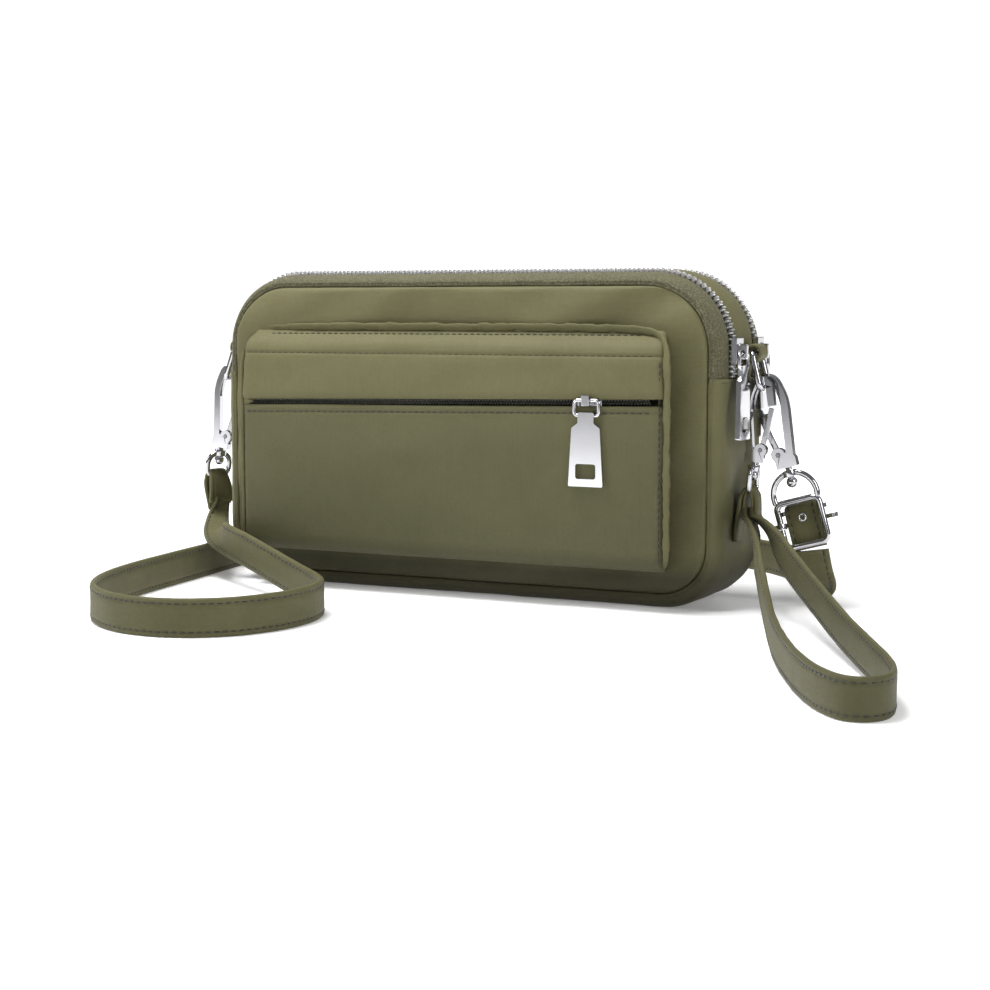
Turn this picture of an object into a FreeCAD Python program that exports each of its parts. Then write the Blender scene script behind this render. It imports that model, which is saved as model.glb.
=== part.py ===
"""Crossbody purse with two zipped compartments, a zipped front pocket, a shoulder strap and a wrist strap.

Frame: +X to the right as the front is seen, +Y to the back, +Z up.
The origin is at the middle of the flat underside.
"""
import FreeCAD, Part
import math
import os
from FreeCAD import Vector

os.makedirs("parts", exist_ok=True)

# Bag body, mm
SEAM_HALF_WIDTH = 105.2   # the front and rear panels' sewn outline
SEAM_TOP = 123.5
SEAM_BOTTOM = 5.5
CORNER_TOP = 25.0
CORNER_BOTTOM = 19.0
HALF_DEPTH = 25.0
SHOULDER = 5.5            # how far the gusset stands out beyond the seam
FABRIC = 1.2
TAPE_END = 88.0           # height at which the zip tapes end on both sides
CHAIN_Y = 12.6            # distance of each chain of teeth from the middle
CHAIN_HALF = 2.2
CHAIN_CROWN = 6.3         # top of the teeth beyond the seam line

# Front pocket, mm
POCKET_FACE = -37.8
POCKET_LEFT = -94.0
POCKET_RIGHT = 92.3
POCKET_BASE_LEFT = -92.0
POCKET_BASE_RIGHT = 88.0
POCKET_BOTTOM = 16.0
POCKET_CREASE = 97.4
POCKET_BACK_TOP = 105.0
SLOT_HALF = 1.2
SLOT_HEIGHT = 78.0        # height of the pocket's zip slot at X = 0
SLOT_SLOPE = 0.018        # the slot rises a little to the right
SLIDER_X = 62.0

# Metal fittings, mm
RING_WIRE = 1.25
RING_HALF = 5.2
RING_DEPTH = 14.0
RING_CORNER = 3.2
RIGHT_BAR_X = 115.5
LEFT_BAR_X = -119.0
BAR_Z = 97.5
RIGHT_RING_TILT = 14.0
LEFT_RING_TILT = 20.0
RIGHT_LEAN = 15.5         # the shoulder strap's hooks lean outward by these angles
LEFT_LEAN = 10.5
WRIST_LEAN = 4.0
WRIST_SCALE = 0.9         # the wrist strap's hook is smaller than the shoulder strap's hooks
WRIST_FOLD_LOW = -50.4    # foot of the wrist strap's stitched fold, before scaling
HOOK_HALF_THICKNESS = 1.6
HOOK_OFFSET_Y = 1.95      # two hooks share the right D-ring side by side
LEFT_RING_LOW = -44.6     # the strap ring's lowest bar, below the D-ring's bar
LEFT_RING_TURN = 65.0     # the strap's ring is turned on its swivel by this angle
SWIVEL_P = 1.0            # distance of a swivel's axis from the line through the D-ring's bar
GATE_PIVOT = (-1.4, -26.0)  # X and Z from the D-ring's bar

# Straps, mm
STRAP_WIDTH = 14.0
STRAP_THICKNESS = 2.4
WRIST_WIDTH = 13.0
WRIST_THICKNESS = 2.2
BEND = 0.45               # share of the shorter run that an arc takes

LEFT_DROP = [
    (-129.7, -0.8, 31.0), (-130.0, -2.2, 25.0), (-127.2, -8.5, 21.0), (-121.0, -18.5, 19.4),
    (-111.6, -30.0, 18.6), (-98.2, -42.0, 17.9), (-82.5, -52.0, 16.0), (-66.0, -61.5, 12.8),
    (-49.0, -70.5, 9.2), (-36.0, -78.5, 7.3), (-27.5, -86.5, 7.0),
]
LEFT_FLOOR = [
    (-27.5, -86.5), (-20.5, -96.0), (-16.0, -112.0), (-17.0, -131.0), (-26.0, -150.0), (-43.0, -161.0),
    (-64.0, -161.0), (-84.0, -150.0), (-99.0, -132.0), (-109.0, -107.0), (-115.0, -77.0), (-119.0, -46.0),
    (-123.0, -16.0), (-128.0, 13.0), (-130.0, 38.0), (-122.0, 60.0), (-102.0, 73.0), (-75.0, 77.0),
    (-47.0, 71.0), (-20.0, 58.0), (7.0, 52.0), (34.0, 52.0),
]
RIGHT_DROP = [
    (136.95, 4.45, 22.0), (138.2, 5.0, 14.0), (137.8, 13.0, 7.8), (132.6, 31.0, 7.0), (121.0, 52.0, 7.0),
]
RIGHT_FLOOR = [
    (121.0, 52.0), (107.0, 76.0), (88.0, 95.0), (64.0, 110.0), (36.0, 120.0), (6.0, 126.0), (-20.0, 124.0),
    (-37.0, 113.0), (-37.0, 96.0), (-20.0, 87.0), (6.0, 86.0), (32.0, 91.0), (56.0, 92.0), (74.0, 85.0),
    (80.0, 68.0), (71.0, 55.0), (54.0, 52.0), (34.0, 52.0),
]
WRIST_LOOP = [
    (113.5, -1.95, 37.6), (114.6, -3.2, 34.0), (120.8, -16.0, 29.0), (132.0, -43.0, 19.6),
    (148.0, -83.0, 11.6), (159.5, -111.0, 7.8), (169.5, -133.0, 6.8), (180.5, -156.0, 6.6),
    (192.5, -177.0, 6.6), (205.5, -191.5, 6.6), (216.5, -184.0, 6.6), (212.5, -163.0, 6.6),
    (198.0, -135.0, 7.9), (180.0, -102.0, 10.0), (161.0, -71.0, 16.3), (142.0, -40.0, 22.8),
    (125.0, -13.5, 31.4), (117.6, -3.0, 34.2), (116.3, -1.95, 37.6),
]


def save(name, *solids):
    """Writes the node's STEP file and prints its volume."""
    shape = solids[0] if len(solids) == 1 else Part.makeCompound(list(solids))
    shape.exportStep(os.path.join("parts", name + ".step"))
    print(f"{name:26s} solids {len(shape.Solids)}  valid {shape.isValid()}  volume {shape.Volume:9.1f} mm3")


def union(shapes):
    """One solid from shapes that touch face to face or overlap."""
    return shapes[0].multiFuse(shapes[1:]).removeSplitter()


def closed_face(start, *steps):
    """A face bounded by lines, given as a point, and arcs, given as a middle point and an end point."""
    edges = []
    here = start
    for step in steps + (start,):
        if isinstance(step, tuple):
            edges.append(Part.Arc(here, step[0], step[1]).toShape())
            here = step[1]
        elif here.distanceToPoint(step) > 1e-6:
            edges.append(Part.LineSegment(here, step).toShape())
            here = step
    return Part.Face(Part.Wire(edges))


def box(x0, x1, y0, y1, z0, z1):
    return Part.makeBox(x1 - x0, y1 - y0, z1 - z0, Vector(x0, y0, z0))


def rod(start, end, radius):
    axis = end - start
    return Part.makeCylinder(radius, axis.Length, start, axis)


def turn(point, before, after):
    """The tangent points, the middle and the radius of the arc that rounds a route's corner."""
    run_in = point - before
    run_out = after - point
    arm = BEND * min(run_in.Length, run_out.Length)
    u = run_in.normalize()
    v = run_out.normalize()
    half = u.getAngle(v) / 2
    radius = arm / math.tan(half)
    inward = (v - u).normalize()
    middle = point + inward * (radius / math.cos(half) - radius)
    return point - u * arm, middle, point + v * arm, radius


def smooth_edges(points):
    """A route's edges: straight runs joined by tangent arcs."""
    edges = []
    here = points[0]
    for i in range(1, len(points) - 1):
        first, middle, last, _ = turn(points[i], points[i - 1], points[i + 1])
        edges.append(Part.LineSegment(here, first).toShape())
        edges.append(Part.Arc(first, middle, last).toShape())
        here = last
    edges.append(Part.LineSegment(here, points[-1]).toShape())
    return edges


def route_radii(points):
    return [turn(points[i], points[i - 1], points[i + 1])[3] for i in range(1, len(points) - 1)]


def band_face(points, half, normal):
    """A flat band of the given half width that follows a planar route."""
    sides = []
    for sign in (1.0, -1.0):
        side = []
        for edge in smooth_edges(points):
            first, last = edge.FirstParameter, edge.LastParameter
            ends = []
            for parameter in (first, (first + last) / 2, last):
                across = normal.cross(edge.tangentAt(parameter)).normalize()
                ends.append(edge.valueAt(parameter) + across * (half * sign))
            side.append(ends)
        sides.append(side)
    curved = [edge.Curve.TypeId == "Part::GeomCircle" for edge in smooth_edges(points)]
    edges = []
    for side in sides:
        for (first, middle, last), is_arc in zip(side, curved):
            shape = Part.Arc(first, middle, last) if is_arc else Part.LineSegment(first, last)
            edges.append(shape.toShape())
    edges.append(Part.LineSegment(sides[0][0][0], sides[1][0][0]).toShape())
    edges.append(Part.LineSegment(sides[0][-1][2], sides[1][-1][2]).toShape())
    return Part.Face(Part.Wire(Part.__sortEdges__(edges)))


def rounded_wire_ring(half_width, top, bottom, corner, radius):
    """A rounded rectangle of round wire in the XZ plane."""
    quarter = corner * (1 - math.sqrt(0.5))
    arcs = []
    for side, z, inward in ((1, top, -1), (1, bottom, 1), (-1, bottom, 1), (-1, top, -1)):
        x = side * half_width
        level = Vector(x - side * corner, 0, z)
        upright = Vector(x, 0, z + inward * corner)
        middle = Vector(x - side * quarter, 0, z + inward * quarter)
        first, last = (level, upright) if side * inward < 0 else (upright, level)
        arcs.append((first, middle, last))
    path = []
    for i, (first, middle, last) in enumerate(arcs):
        path.append(Part.Arc(first, middle, last).toShape())
        path.append(Part.LineSegment(last, arcs[(i + 1) % 4][0]).toShape())
    section = Part.Wire(Part.Circle(arcs[0][0], Vector(1, 0, 0), radius).toShape())
    return Part.Wire(path).makePipeShell([section], True, False)


def placed(shape, turn_z=0.0, lean=0.0, at=Vector(0, 0, 0), mirror=False):
    """Mirrors left to right, turns about Z, leans about Y and then moves a shape."""
    result = shape.copy()
    if mirror:
        result = result.mirror(Vector(0, 0, 0), Vector(1, 0, 0))
    result.rotate(Vector(0, 0, 0), Vector(0, 0, 1), turn_z)
    result.rotate(Vector(0, 0, 0), Vector(0, 1, 0), lean)
    result.translate(at)
    return result


# Bag body


def outline(inset, y):
    """The panels' outline, drawn in by inset, as a wire in the plane Y = y."""
    half = SEAM_HALF_WIDTH - inset
    top = SEAM_TOP - inset
    bottom = SEAM_BOTTOM + inset
    edges = []
    corners = [(1, top, CORNER_TOP - inset, -1), (1, bottom, CORNER_BOTTOM - inset, 1),
               (-1, bottom, CORNER_BOTTOM - inset, 1), (-1, top, CORNER_TOP - inset, -1)]
    arcs = []
    for side, z, radius, inward in corners:
        centre = Vector(side * (half - radius), y, z + inward * radius)
        level = Vector(centre.x, y, z)
        upright = Vector(side * half, y, centre.z)
        diagonal = centre + Vector(side, 0, -inward).normalize() * radius
        ends = (level, upright) if (side > 0) == (inward < 0) else (upright, level)
        arcs.append((ends[0], diagonal, ends[1]))
    for i, (first, middle, last) in enumerate(arcs):
        edges.append(Part.Arc(first, middle, last).toShape())
        edges.append(Part.LineSegment(last, arcs[(i + 1) % 4][0]).toShape())
    return Part.Wire(edges)


def slab(inset, y0, y1):
    return Part.Face(outline(inset, y0)).extrude(Vector(0, y1 - y0, 0))


def swept(section, upper):
    """Carries a section, drawn at the right side, over the top or round the bottom and up the left side."""
    radius = CORNER_TOP if upper else CORNER_BOTTOM
    level = SEAM_TOP - radius if upper else SEAM_BOTTOM + radius
    angle = -90 if upper else 90
    half = SEAM_HALF_WIDTH - radius
    face = section.copy()
    face.translate(Vector(0, 0, level))
    leg = Vector(0, 0, TAPE_END - level)
    pieces = [face.extrude(leg)]
    for side in (1, -1):
        centre = Vector(side * half, 0, level)
        pieces.append(face.revolve(centre, Vector(0, 1, 0), angle))
        face = face.copy()
        face.rotate(centre, Vector(0, 1, 0), angle)
        if side == 1:
            across = Vector(-2 * half, 0, 0)
            pieces.append(face.extrude(across))
            face.translate(across)
    pieces.append(face.extrude(leg))
    return union(pieces)


def at_side(u, y):
    """A point of a section: u is how far it stands out beyond the seam line."""
    return Vector(SEAM_HALF_WIDTH + u, y, 0)


def shoulder_arc(radius, sign):
    """The middle of the quarter round that leads from a panel's seam on to the gusset."""
    centre = HALF_DEPTH - SHOULDER
    diagonal = radius * math.sqrt(0.5)
    return at_side(diagonal, sign * (centre + diagonal))


def side_bottom_gusset():
    edge = HALF_DEPTH - SHOULDER
    inner = SHOULDER - FABRIC
    section = closed_face(
        at_side(0, -HALF_DEPTH),
        (shoulder_arc(SHOULDER, -1), at_side(SHOULDER, -edge)),
        at_side(SHOULDER, edge),
        (shoulder_arc(SHOULDER, 1), at_side(0, HALF_DEPTH)),
        at_side(0, HALF_DEPTH - FABRIC),
        (shoulder_arc(inner, 1), at_side(inner, edge)),
        at_side(inner, -edge),
        (shoulder_arc(inner, -1), at_side(0, FABRIC - HALF_DEPTH)),
    )
    return swept(section, False)


def outer_tape(sign):
    """The strip of zip tape between a panel's seam and its chain of teeth."""
    edge = HALF_DEPTH - SHOULDER
    inner = SHOULDER - FABRIC
    by_teeth = CHAIN_Y + CHAIN_HALF + 0.2
    section = closed_face(
        at_side(0, sign * HALF_DEPTH),
        (shoulder_arc(SHOULDER, sign), at_side(SHOULDER, sign * edge)),
        at_side(SHOULDER, sign * by_teeth),
        at_side(inner, sign * by_teeth),
        at_side(inner, sign * edge),
        (shoulder_arc(inner, sign), at_side(0, sign * (HALF_DEPTH - FABRIC))),
    )
    return swept(section, True)


def strip(u0, u1, y0, y1):
    """A flat strip that runs over the top and down both sides."""
    section = closed_face(at_side(u0, y0), at_side(u1, y0), at_side(u1, y1), at_side(u0, y1))
    return swept(section, True)


def lining(y0, y1):
    """A sewn bag, open at the top under its zip."""
    shell = slab(2.0, y0, y1).cut(slab(2.8, y0 + 0.8, y1 - 0.8))
    mouth = box(-78, 78, y0 + 0.8, y1 - 0.8, SEAM_TOP - 12, SEAM_TOP)
    return shell.cut(mouth)


def body_parts():
    save("front_panel", slab(0.4, -HALF_DEPTH - 1.0, -HALF_DEPTH + 0.3))
    save("rear_panel", slab(0.4, HALF_DEPTH - 0.3, HALF_DEPTH + 1.0))
    save("side_bottom_gusset", side_bottom_gusset())
    save("centre_gusset", strip(SHOULDER - FABRIC, SHOULDER, -8.8, 8.8))
    for name, sign in (("front", -1), ("rear", 1)):
        near = sign * 5.0
        far = sign * (CHAIN_Y - CHAIN_HALF - 0.2)
        save(name + "_outer_tape", outer_tape(sign))
        save(name + "_inner_tape", strip(3.2, 4.1, near, far))
        teeth = strip(4.0, CHAIN_CROWN, sign * (CHAIN_Y - CHAIN_HALF), sign * (CHAIN_Y + CHAIN_HALF))
        save(name + "_teeth", teeth)
        save(name + "_lining", lining(min(sign * 1.2, sign * 23.4), max(sign * 1.2, sign * 23.4)))
    save("divider", slab(-4.0, -0.5, 0.5))


# Front pocket


def slot_z(x):
    return SLOT_HEIGHT + SLOT_SLOPE * x


def pocket_plate(corners, y0, y1):
    """A flat piece in the XZ plane from its corner points."""
    points = [Vector(x, y0, z) for x, z in corners]
    return closed_face(points[0], *points[1:]).extrude(Vector(0, y1 - y0, 0))


def pocket_lower_front():
    radius = 6.0
    bend = radius * (1 - math.sqrt(0.5))
    left, right, low = POCKET_LEFT, POCKET_RIGHT, POCKET_BOTTOM
    y = POCKET_FACE
    face = closed_face(
        Vector(left, y, slot_z(left) - SLOT_HALF),
        Vector(left, y, low + radius),
        (Vector(left + bend, y, low + bend), Vector(left + radius, y, low)),
        Vector(right - radius, y, low),
        (Vector(right - bend, y, low + bend), Vector(right, y, low + radius)),
        Vector(right, y, slot_z(right) - SLOT_HALF),
    )
    return face.extrude(Vector(0, FABRIC, 0))


def pocket_upper_front():
    left, right = POCKET_LEFT, POCKET_RIGHT
    corners = [(left, slot_z(left) + SLOT_HALF), (right, slot_z(right) + SLOT_HALF),
               (right, POCKET_CREASE), (left, POCKET_CREASE)]
    return pocket_plate(corners, POCKET_FACE, POCKET_FACE + FABRIC)


def pocket_top():
    """The sloped top, narrower where it is sewn to the front panel."""
    back = -HALF_DEPTH - 1.0
    rise = FABRIC
    front = [(POCKET_LEFT, POCKET_CREASE + 0.2), (POCKET_RIGHT, POCKET_CREASE + 0.2),
             (POCKET_RIGHT, POCKET_CREASE + 0.2 + rise), (POCKET_LEFT, POCKET_CREASE + 0.2 + rise)]
    rear = [(POCKET_BASE_LEFT, POCKET_BACK_TOP - rise), (POCKET_BASE_RIGHT, POCKET_BACK_TOP - rise),
            (POCKET_BASE_RIGHT, POCKET_BACK_TOP), (POCKET_BASE_LEFT, POCKET_BACK_TOP)]
    wires = []
    for y, corners in ((POCKET_FACE, front), (back, rear)):
        wires.append(Part.makePolygon([Vector(x, y, z) for x, z in corners + corners[:1]]))
    return Part.makeLoft(wires, True, True)


def pocket_shell_outline(left, right, low, high, y):
    return Part.makePolygon([Vector(x, y, z) for x, z in
                             ((left, high), (left, low), (right, low), (right, high), (left, high))])


def pocket_gusset():
    """The pocket's two sides and its bottom, wider at the front than where it meets the panel."""
    front = POCKET_FACE + FABRIC + 0.1
    back = -HALF_DEPTH - 1.0
    solids = []
    for wall, extra in ((0.0, 0.0), (1.1, 12.0)):
        wires = [
            pocket_shell_outline(POCKET_LEFT + wall, POCKET_RIGHT - wall, POCKET_BOTTOM + 0.5 + wall,
                                 POCKET_CREASE - 0.2 + extra, front),
            pocket_shell_outline(POCKET_BASE_LEFT + wall, POCKET_BASE_RIGHT - wall, POCKET_BOTTOM - 0.5 + wall,
                                 POCKET_BACK_TOP - FABRIC - 0.6 + extra, back),
        ]
        solids.append(Part.makeLoft(wires, True, True))
    return solids[0].cut(solids[1])


def pocket_binding(side):
    """The pinched seam that stands along the pocket's side edge."""
    edge = POCKET_RIGHT if side > 0 else POCKET_LEFT
    x0, x1 = sorted((edge, edge + side * 2.2))
    return box(x0, x1, POCKET_FACE - 0.6, POCKET_FACE + 2.0, POCKET_BOTTOM + 4.0, POCKET_CREASE + 0.6)


def along_slot(low, high, y0, y1, x0=-91.0, x1=89.0):
    """A strip that follows the slot, from low to high beside its middle line."""
    corners = [(x0, slot_z(x0) + low), (x1, slot_z(x1) + low), (x1, slot_z(x1) + high), (x0, slot_z(x0) + high)]
    return pocket_plate(corners, y0, y1)


def pocket_parts():
    save("pocket_lower_front", pocket_lower_front())
    save("pocket_upper_front", pocket_upper_front())
    save("pocket_top", pocket_top())
    save("pocket_gusset", pocket_gusset())
    save("pocket_left_seam", pocket_binding(-1))
    save("pocket_right_seam", pocket_binding(1))
    tapes = [along_slot(low, high, -34.6, -33.9) for low, high in ((2.3, 8.0), (-8.0, -2.3))]
    save("pocket_zip_tapes", *tapes)
    save("pocket_teeth", along_slot(-2.0, 2.0, -34.7, -33.2))
    bag = box(-89, 84, -31.2, -27.2, 18, 92).cut(box(-88.4, 83.4, -30.6, -27.8, 18.6, 93))
    save("pocket_lining", bag)


# Sliders and pullers


def slider_body(front, back):
    """A slider's upper plate with its two flanges, and its separate under plate.

    Local frame: the chain runs along X, -Y faces outward, and the tape's face is at Y = 0.
    """
    plate = box(-5.0, 5.0, front, front + 1.2, -3.9, 3.9)
    upper = box(-5.0, 5.0, front + 1.2, -0.35, 2.6, 3.9)
    lower = box(-5.0, 5.0, front + 1.2, -0.35, -3.9, -2.6)
    under = box(-4.5, 4.5, back, back + 1.1, -3.9, 3.9)
    return union([plate, upper, lower]), under


def puller_link():
    """A small rectangular ring that hangs from the slider; its top bar is the pivot at the origin."""
    return rounded_wire_ring(5.0, 0.0, -5.7, 1.2, 0.7)


def puller_plate(shoulder, foot):
    """The puller below its link: a narrow neck, sloped shoulders and a window near the end.

    shoulder and foot are its half widths at the top and bottom of the blade.
    """
    outline_points = [(-3.3, -4.5), (-3.3, -8.6), (-shoulder, -10.4), (-foot, -32.6), (foot, -32.6),
                      (shoulder, -10.4), (3.3, -8.6), (3.3, -4.5)]
    plate = pocket_plate(outline_points, -0.95, 0.95)
    upright = [e for e in plate.Edges if abs(e.tangentAt(e.FirstParameter).y) > 0.9]
    plate = plate.makeFillet(0.6, upright)
    window = box(2.95 - foot, foot - 2.95, -2, 2, -29.7, -24.0)
    window = window.makeFillet(1.0, [e for e in window.Edges if abs(e.tangentAt(e.FirstParameter).y) > 0.9])
    bore = rod(Vector(-6, 0, -5.7), Vector(6, 0, -5.7), 0.74)
    return plate.cut(window).cut(bore)


def pocket_slider_parts():
    pivot = Vector(SLIDER_X, -39.6, slot_z(SLIDER_X) + 0.7)
    tape_face = Vector(SLIDER_X, -34.6, slot_z(SLIDER_X))
    upper, under = slider_body(-1.9, 1.9)
    neck = box(-2.6, 2.6, -3.7, -1.9, -0.85, 0.85)
    head = box(-1.6, 1.6, -6.5, -3.5, -1.3, 2.7)
    eye = rod(Vector(-3, -5.0, 0.7), Vector(3, -5.0, 0.7), 0.95)
    slider = union([upper, neck, head]).cut(eye)
    tilt = -math.degrees(math.atan(SLOT_SLOPE))
    save("pocket_slider", placed(slider, lean=tilt, at=tape_face), placed(under, lean=tilt, at=tape_face))
    save("pocket_link", placed(puller_link(), at=pivot))
    save("pocket_puller", placed(puller_plate(5.8, 7.1), at=pivot))


def main_slider_parts(name, sign):
    """A main zip's slider, parked at the foot of the right-hand corner."""
    level = SEAM_TOP - CORNER_TOP
    plate = box(6.8, 8.1, -3.9, 3.9, -5.0, 5.0)
    near = box(5.95, 6.8, -3.9, -2.6, -5.0, 5.0)
    far = box(5.95, 6.8, 2.6, 3.9, -5.0, 5.0)
    bridge = box(8.1, 11.0, -1.2, 1.2, -3.2, 2.4)
    eye = rod(Vector(9.4, -3, -1.0), Vector(9.4, 3, -1.0), 0.95)
    upper = union([plate, near, far, bridge]).cut(eye)
    under = box(1.2, 2.4, -3.9, 3.9, -4.5, 4.5)
    at = Vector(SEAM_HALF_WIDTH, sign * CHAIN_Y, level)
    save(name + "_slider", placed(upper, at=at), placed(under, at=at))
    pivot = at + Vector(9.4, 0, -1.0)
    save(name + "_link", placed(puller_link(), turn_z=90, at=pivot))
    save(name + "_puller", placed(puller_plate(5.1, 6.0), turn_z=90, at=pivot))


# Tabs, D-rings and hooks


def tab(bar_x):
    """A folded strip sewn to the gusset that holds a D-ring's bar."""
    side = math.copysign(1.0, bar_x)
    face = SEAM_HALF_WIDTH + SHOULDER
    bar = abs(bar_x)
    sleeve = rod(Vector(bar, -3.5, BAR_Z), Vector(bar, 3.5, BAR_Z), 3.3)
    stem = box(face, bar, -3.5, 3.5, BAR_Z - 2.4, BAR_Z + 2.4)
    plate = box(face, face + 1.6, -3.5, 3.5, 84.0, BAR_Z + 2.4)
    bore = rod(Vector(bar, -5, BAR_Z), Vector(bar, 5, BAR_Z), RING_WIRE + 0.45)
    shape = union([sleeve, stem, plate]).cut(bore)
    return placed(shape, mirror=side < 0)


def d_ring(bar_x, tilt):
    side = math.copysign(1.0, bar_x)
    ring = rounded_wire_ring(RING_HALF, 0.0, -RING_DEPTH, RING_CORNER - 1.0, RING_WIRE)
    return placed(ring, turn_z=90, lean=-side * tilt, at=Vector(bar_x, 0, BAR_Z))


def ring_foot(bar_x, tilt):
    """The middle of a D-ring's lowest bar, where hooks hang."""
    side = math.copysign(1.0, bar_x)
    angle = math.radians(tilt)
    return Vector(bar_x + side * RING_DEPTH * math.sin(angle), 0, BAR_Z - RING_DEPTH * math.cos(angle))


def hook_body():
    """A snap hook's body: base, spine and bend. The D-ring's bar is at the origin and the gate is at -X."""
    half = HOOK_HALF_THICKNESS
    path = [Vector(2.9, -half, -29.0), Vector(6.3, -half, -5.0), Vector(3.4, -half, 4.3), Vector(-2.7, -half, 3.2),
            Vector(-4.9, -half, -7.0)]
    bar = band_face(path, 1.55, Vector(0, 1, 0)).extrude(Vector(0, 2 * half, 0))
    base = pocket_plate([(-3.2, -31.5), (5.2, -31.5), (5.2, -28.0), (4.0, -25.5), (-0.5, -25.5), (-3.2, -28.0)],
                        -half, half)
    lug = rod(Vector(GATE_PIVOT[0], -half, GATE_PIVOT[1]), Vector(GATE_PIVOT[0], half, GATE_PIVOT[1]), 2.8)
    slot = box(-8.0, 1.6, -0.85, 0.85, -29.2, -20.0)
    pin_hole = rod(Vector(GATE_PIVOT[0], -3, GATE_PIVOT[1]), Vector(GATE_PIVOT[0], 3, GATE_PIVOT[1]), 0.8)
    return union([bar, base, lug]).cut(slot).cut(pin_hole)


def hook_gate():
    """The sprung gate, closed against the hook's nose."""
    path = [Vector(GATE_PIVOT[0], -0.55, GATE_PIVOT[1]), Vector(-3.3, -0.55, -18.0), Vector(-4.8, -0.55, -7.8)]
    bar = band_face(path, 1.15, Vector(0, 1, 0)).extrude(Vector(0, 1.1, 0))
    eye = rod(Vector(GATE_PIVOT[0], -0.55, GATE_PIVOT[1]), Vector(GATE_PIVOT[0], 0.55, GATE_PIVOT[1]), 2.0)
    hole = rod(Vector(GATE_PIVOT[0], -3, GATE_PIVOT[1]), Vector(GATE_PIVOT[0], 3, GATE_PIVOT[1]), 0.85)
    return union([bar, eye]).cut(hole)


def gate_pin():
    reach = HOOK_HALF_THICKNESS + 0.25
    return rod(Vector(GATE_PIVOT[0], -reach, GATE_PIVOT[1]), Vector(GATE_PIVOT[0], reach, GATE_PIVOT[1]), 0.8)


def swivel_stud(head):
    """The headed stud under a hook's base that a ring or buckle turns on."""
    neck = rod(Vector(SWIVEL_P, 0, -31.5), Vector(SWIVEL_P, 0, -head), 1.3)
    knob = Part.makeSphere(2.2, Vector(SWIVEL_P, 0, -head - 1.2))
    return union([neck, knob])


def swivel_eye(z):
    """A short barrel round the stud, with running clearance."""
    return rod(Vector(SWIVEL_P, 0, z - 1.3), Vector(SWIVEL_P, 0, z + 1.3), 2.7)


def swivel_bore():
    return rod(Vector(SWIVEL_P, 0, -40), Vector(SWIVEL_P, 0, -31.5), 1.36)


def buckle_frame():
    """A strap buckle in one piece: arch, rectangular frame and the cross bar behind it."""
    arch = Part.Wire(Part.Arc(Vector(-7.4, 0, -44.5), Vector(1.0, 0, -33.6), Vector(9.4, 0, -44.5)).toShape())
    start = arch.Edges[0]
    direction = start.tangentAt(start.FirstParameter)
    section = Part.Wire(Part.Circle(start.valueAt(start.FirstParameter), direction, 1.15).toShape())
    bow = arch.makePipeShell([section], True, False)
    frame = placed(rounded_wire_ring(8.6, -44.5, -61.8, 2.6, 1.25), at=Vector(1.0, 0, 0))
    cross_bar = rod(Vector(-7.6, 4.4, -48.6), Vector(9.6, 4.4, -48.6), 0.9)
    lugs = [box(x - 0.8, x + 0.8, 0.0, 5.2, -49.4, -47.8) for x in (-7.6, 9.6)]
    return union([bow, frame, swivel_eye(-33.8), cross_bar] + lugs).cut(swivel_bore())


def prong():
    """A tongue behind the strap: it turns on the frame's near side and its tip shows past the far side."""
    eye = rod(Vector(-7.6, 0, -54.4), Vector(-7.6, 0, -52.0), 2.2)
    arm = box(-7.6, -6.0, 1.4, 9.6, -54.0, -52.4)
    tongue = box(-7.6, 12.6, 8.2, 9.6, -54.0, -52.4)
    tip = box(11.4, 12.6, 5.4, 8.4, -54.0, -52.4)
    bore = rod(Vector(-7.6, 0, -56), Vector(-7.6, 0, -50), 1.34)
    return union([eye, arm, tongue, tip]).cut(bore)


def strap_buckle_end():
    """The strap's end: up behind the frame's lower bar, round the cross bar and down again."""
    route = [Vector(0, 2.5, -63.0), Vector(0, 2.5, -46.6), Vector(0, 6.4, -46.6), Vector(0, 6.4, -59.5)]
    face = band_face(route, 0.85, Vector(1, 0, 0))
    face.translate(Vector(1.0 - STRAP_WIDTH / 2, 0, 0))
    return face.extrude(Vector(STRAP_WIDTH, 0, 0))


def strap_ring():
    """The oval ring that the strap's sewn end passes through."""
    ring = rounded_wire_ring(5.4, -34.2, LEFT_RING_LOW, 4.6, 1.2)
    ring = placed(ring, turn_z=-LEFT_RING_TURN, at=Vector(SWIVEL_P, 0, 0))
    return union([ring, swivel_eye(-33.8)]).cut(swivel_bore())


def strap_loop_end():
    """The strap's sewn end, folded over the ring's lowest bar, which is at the origin."""
    route = [Vector(0, -1.7, -8.6), Vector(0, -2.8, -3.6), Vector(0, -2.8, 4.2), Vector(0, 2.8, 4.2),
             Vector(0, 2.8, -3.6), Vector(0, 1.7, -8.6)]
    face = band_face(route, 0.75, Vector(1, 0, 0))
    face.translate(Vector(-2.8, 0, 0))
    return face.extrude(Vector(5.6, 0, 0))


def shoulder_clip(name, bar_x, tilt, lean, offset_y):
    """A snap hook with its gate, pin and stud, hung on a D-ring."""
    side = math.copysign(1.0, bar_x)
    at = ring_foot(bar_x, tilt) + Vector(0, offset_y, 0)
    where = {"lean": -side * lean, "at": at, "mirror": side < 0}
    save(name + "_hook", placed(hook_body(), **where))
    save(name + "_gate", placed(hook_gate(), **where))
    save(name + "_gate_pin", placed(gate_pin(), **where))
    save(name + "_swivel_stud", placed(swivel_stud(36.0), **where))
    return where


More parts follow.
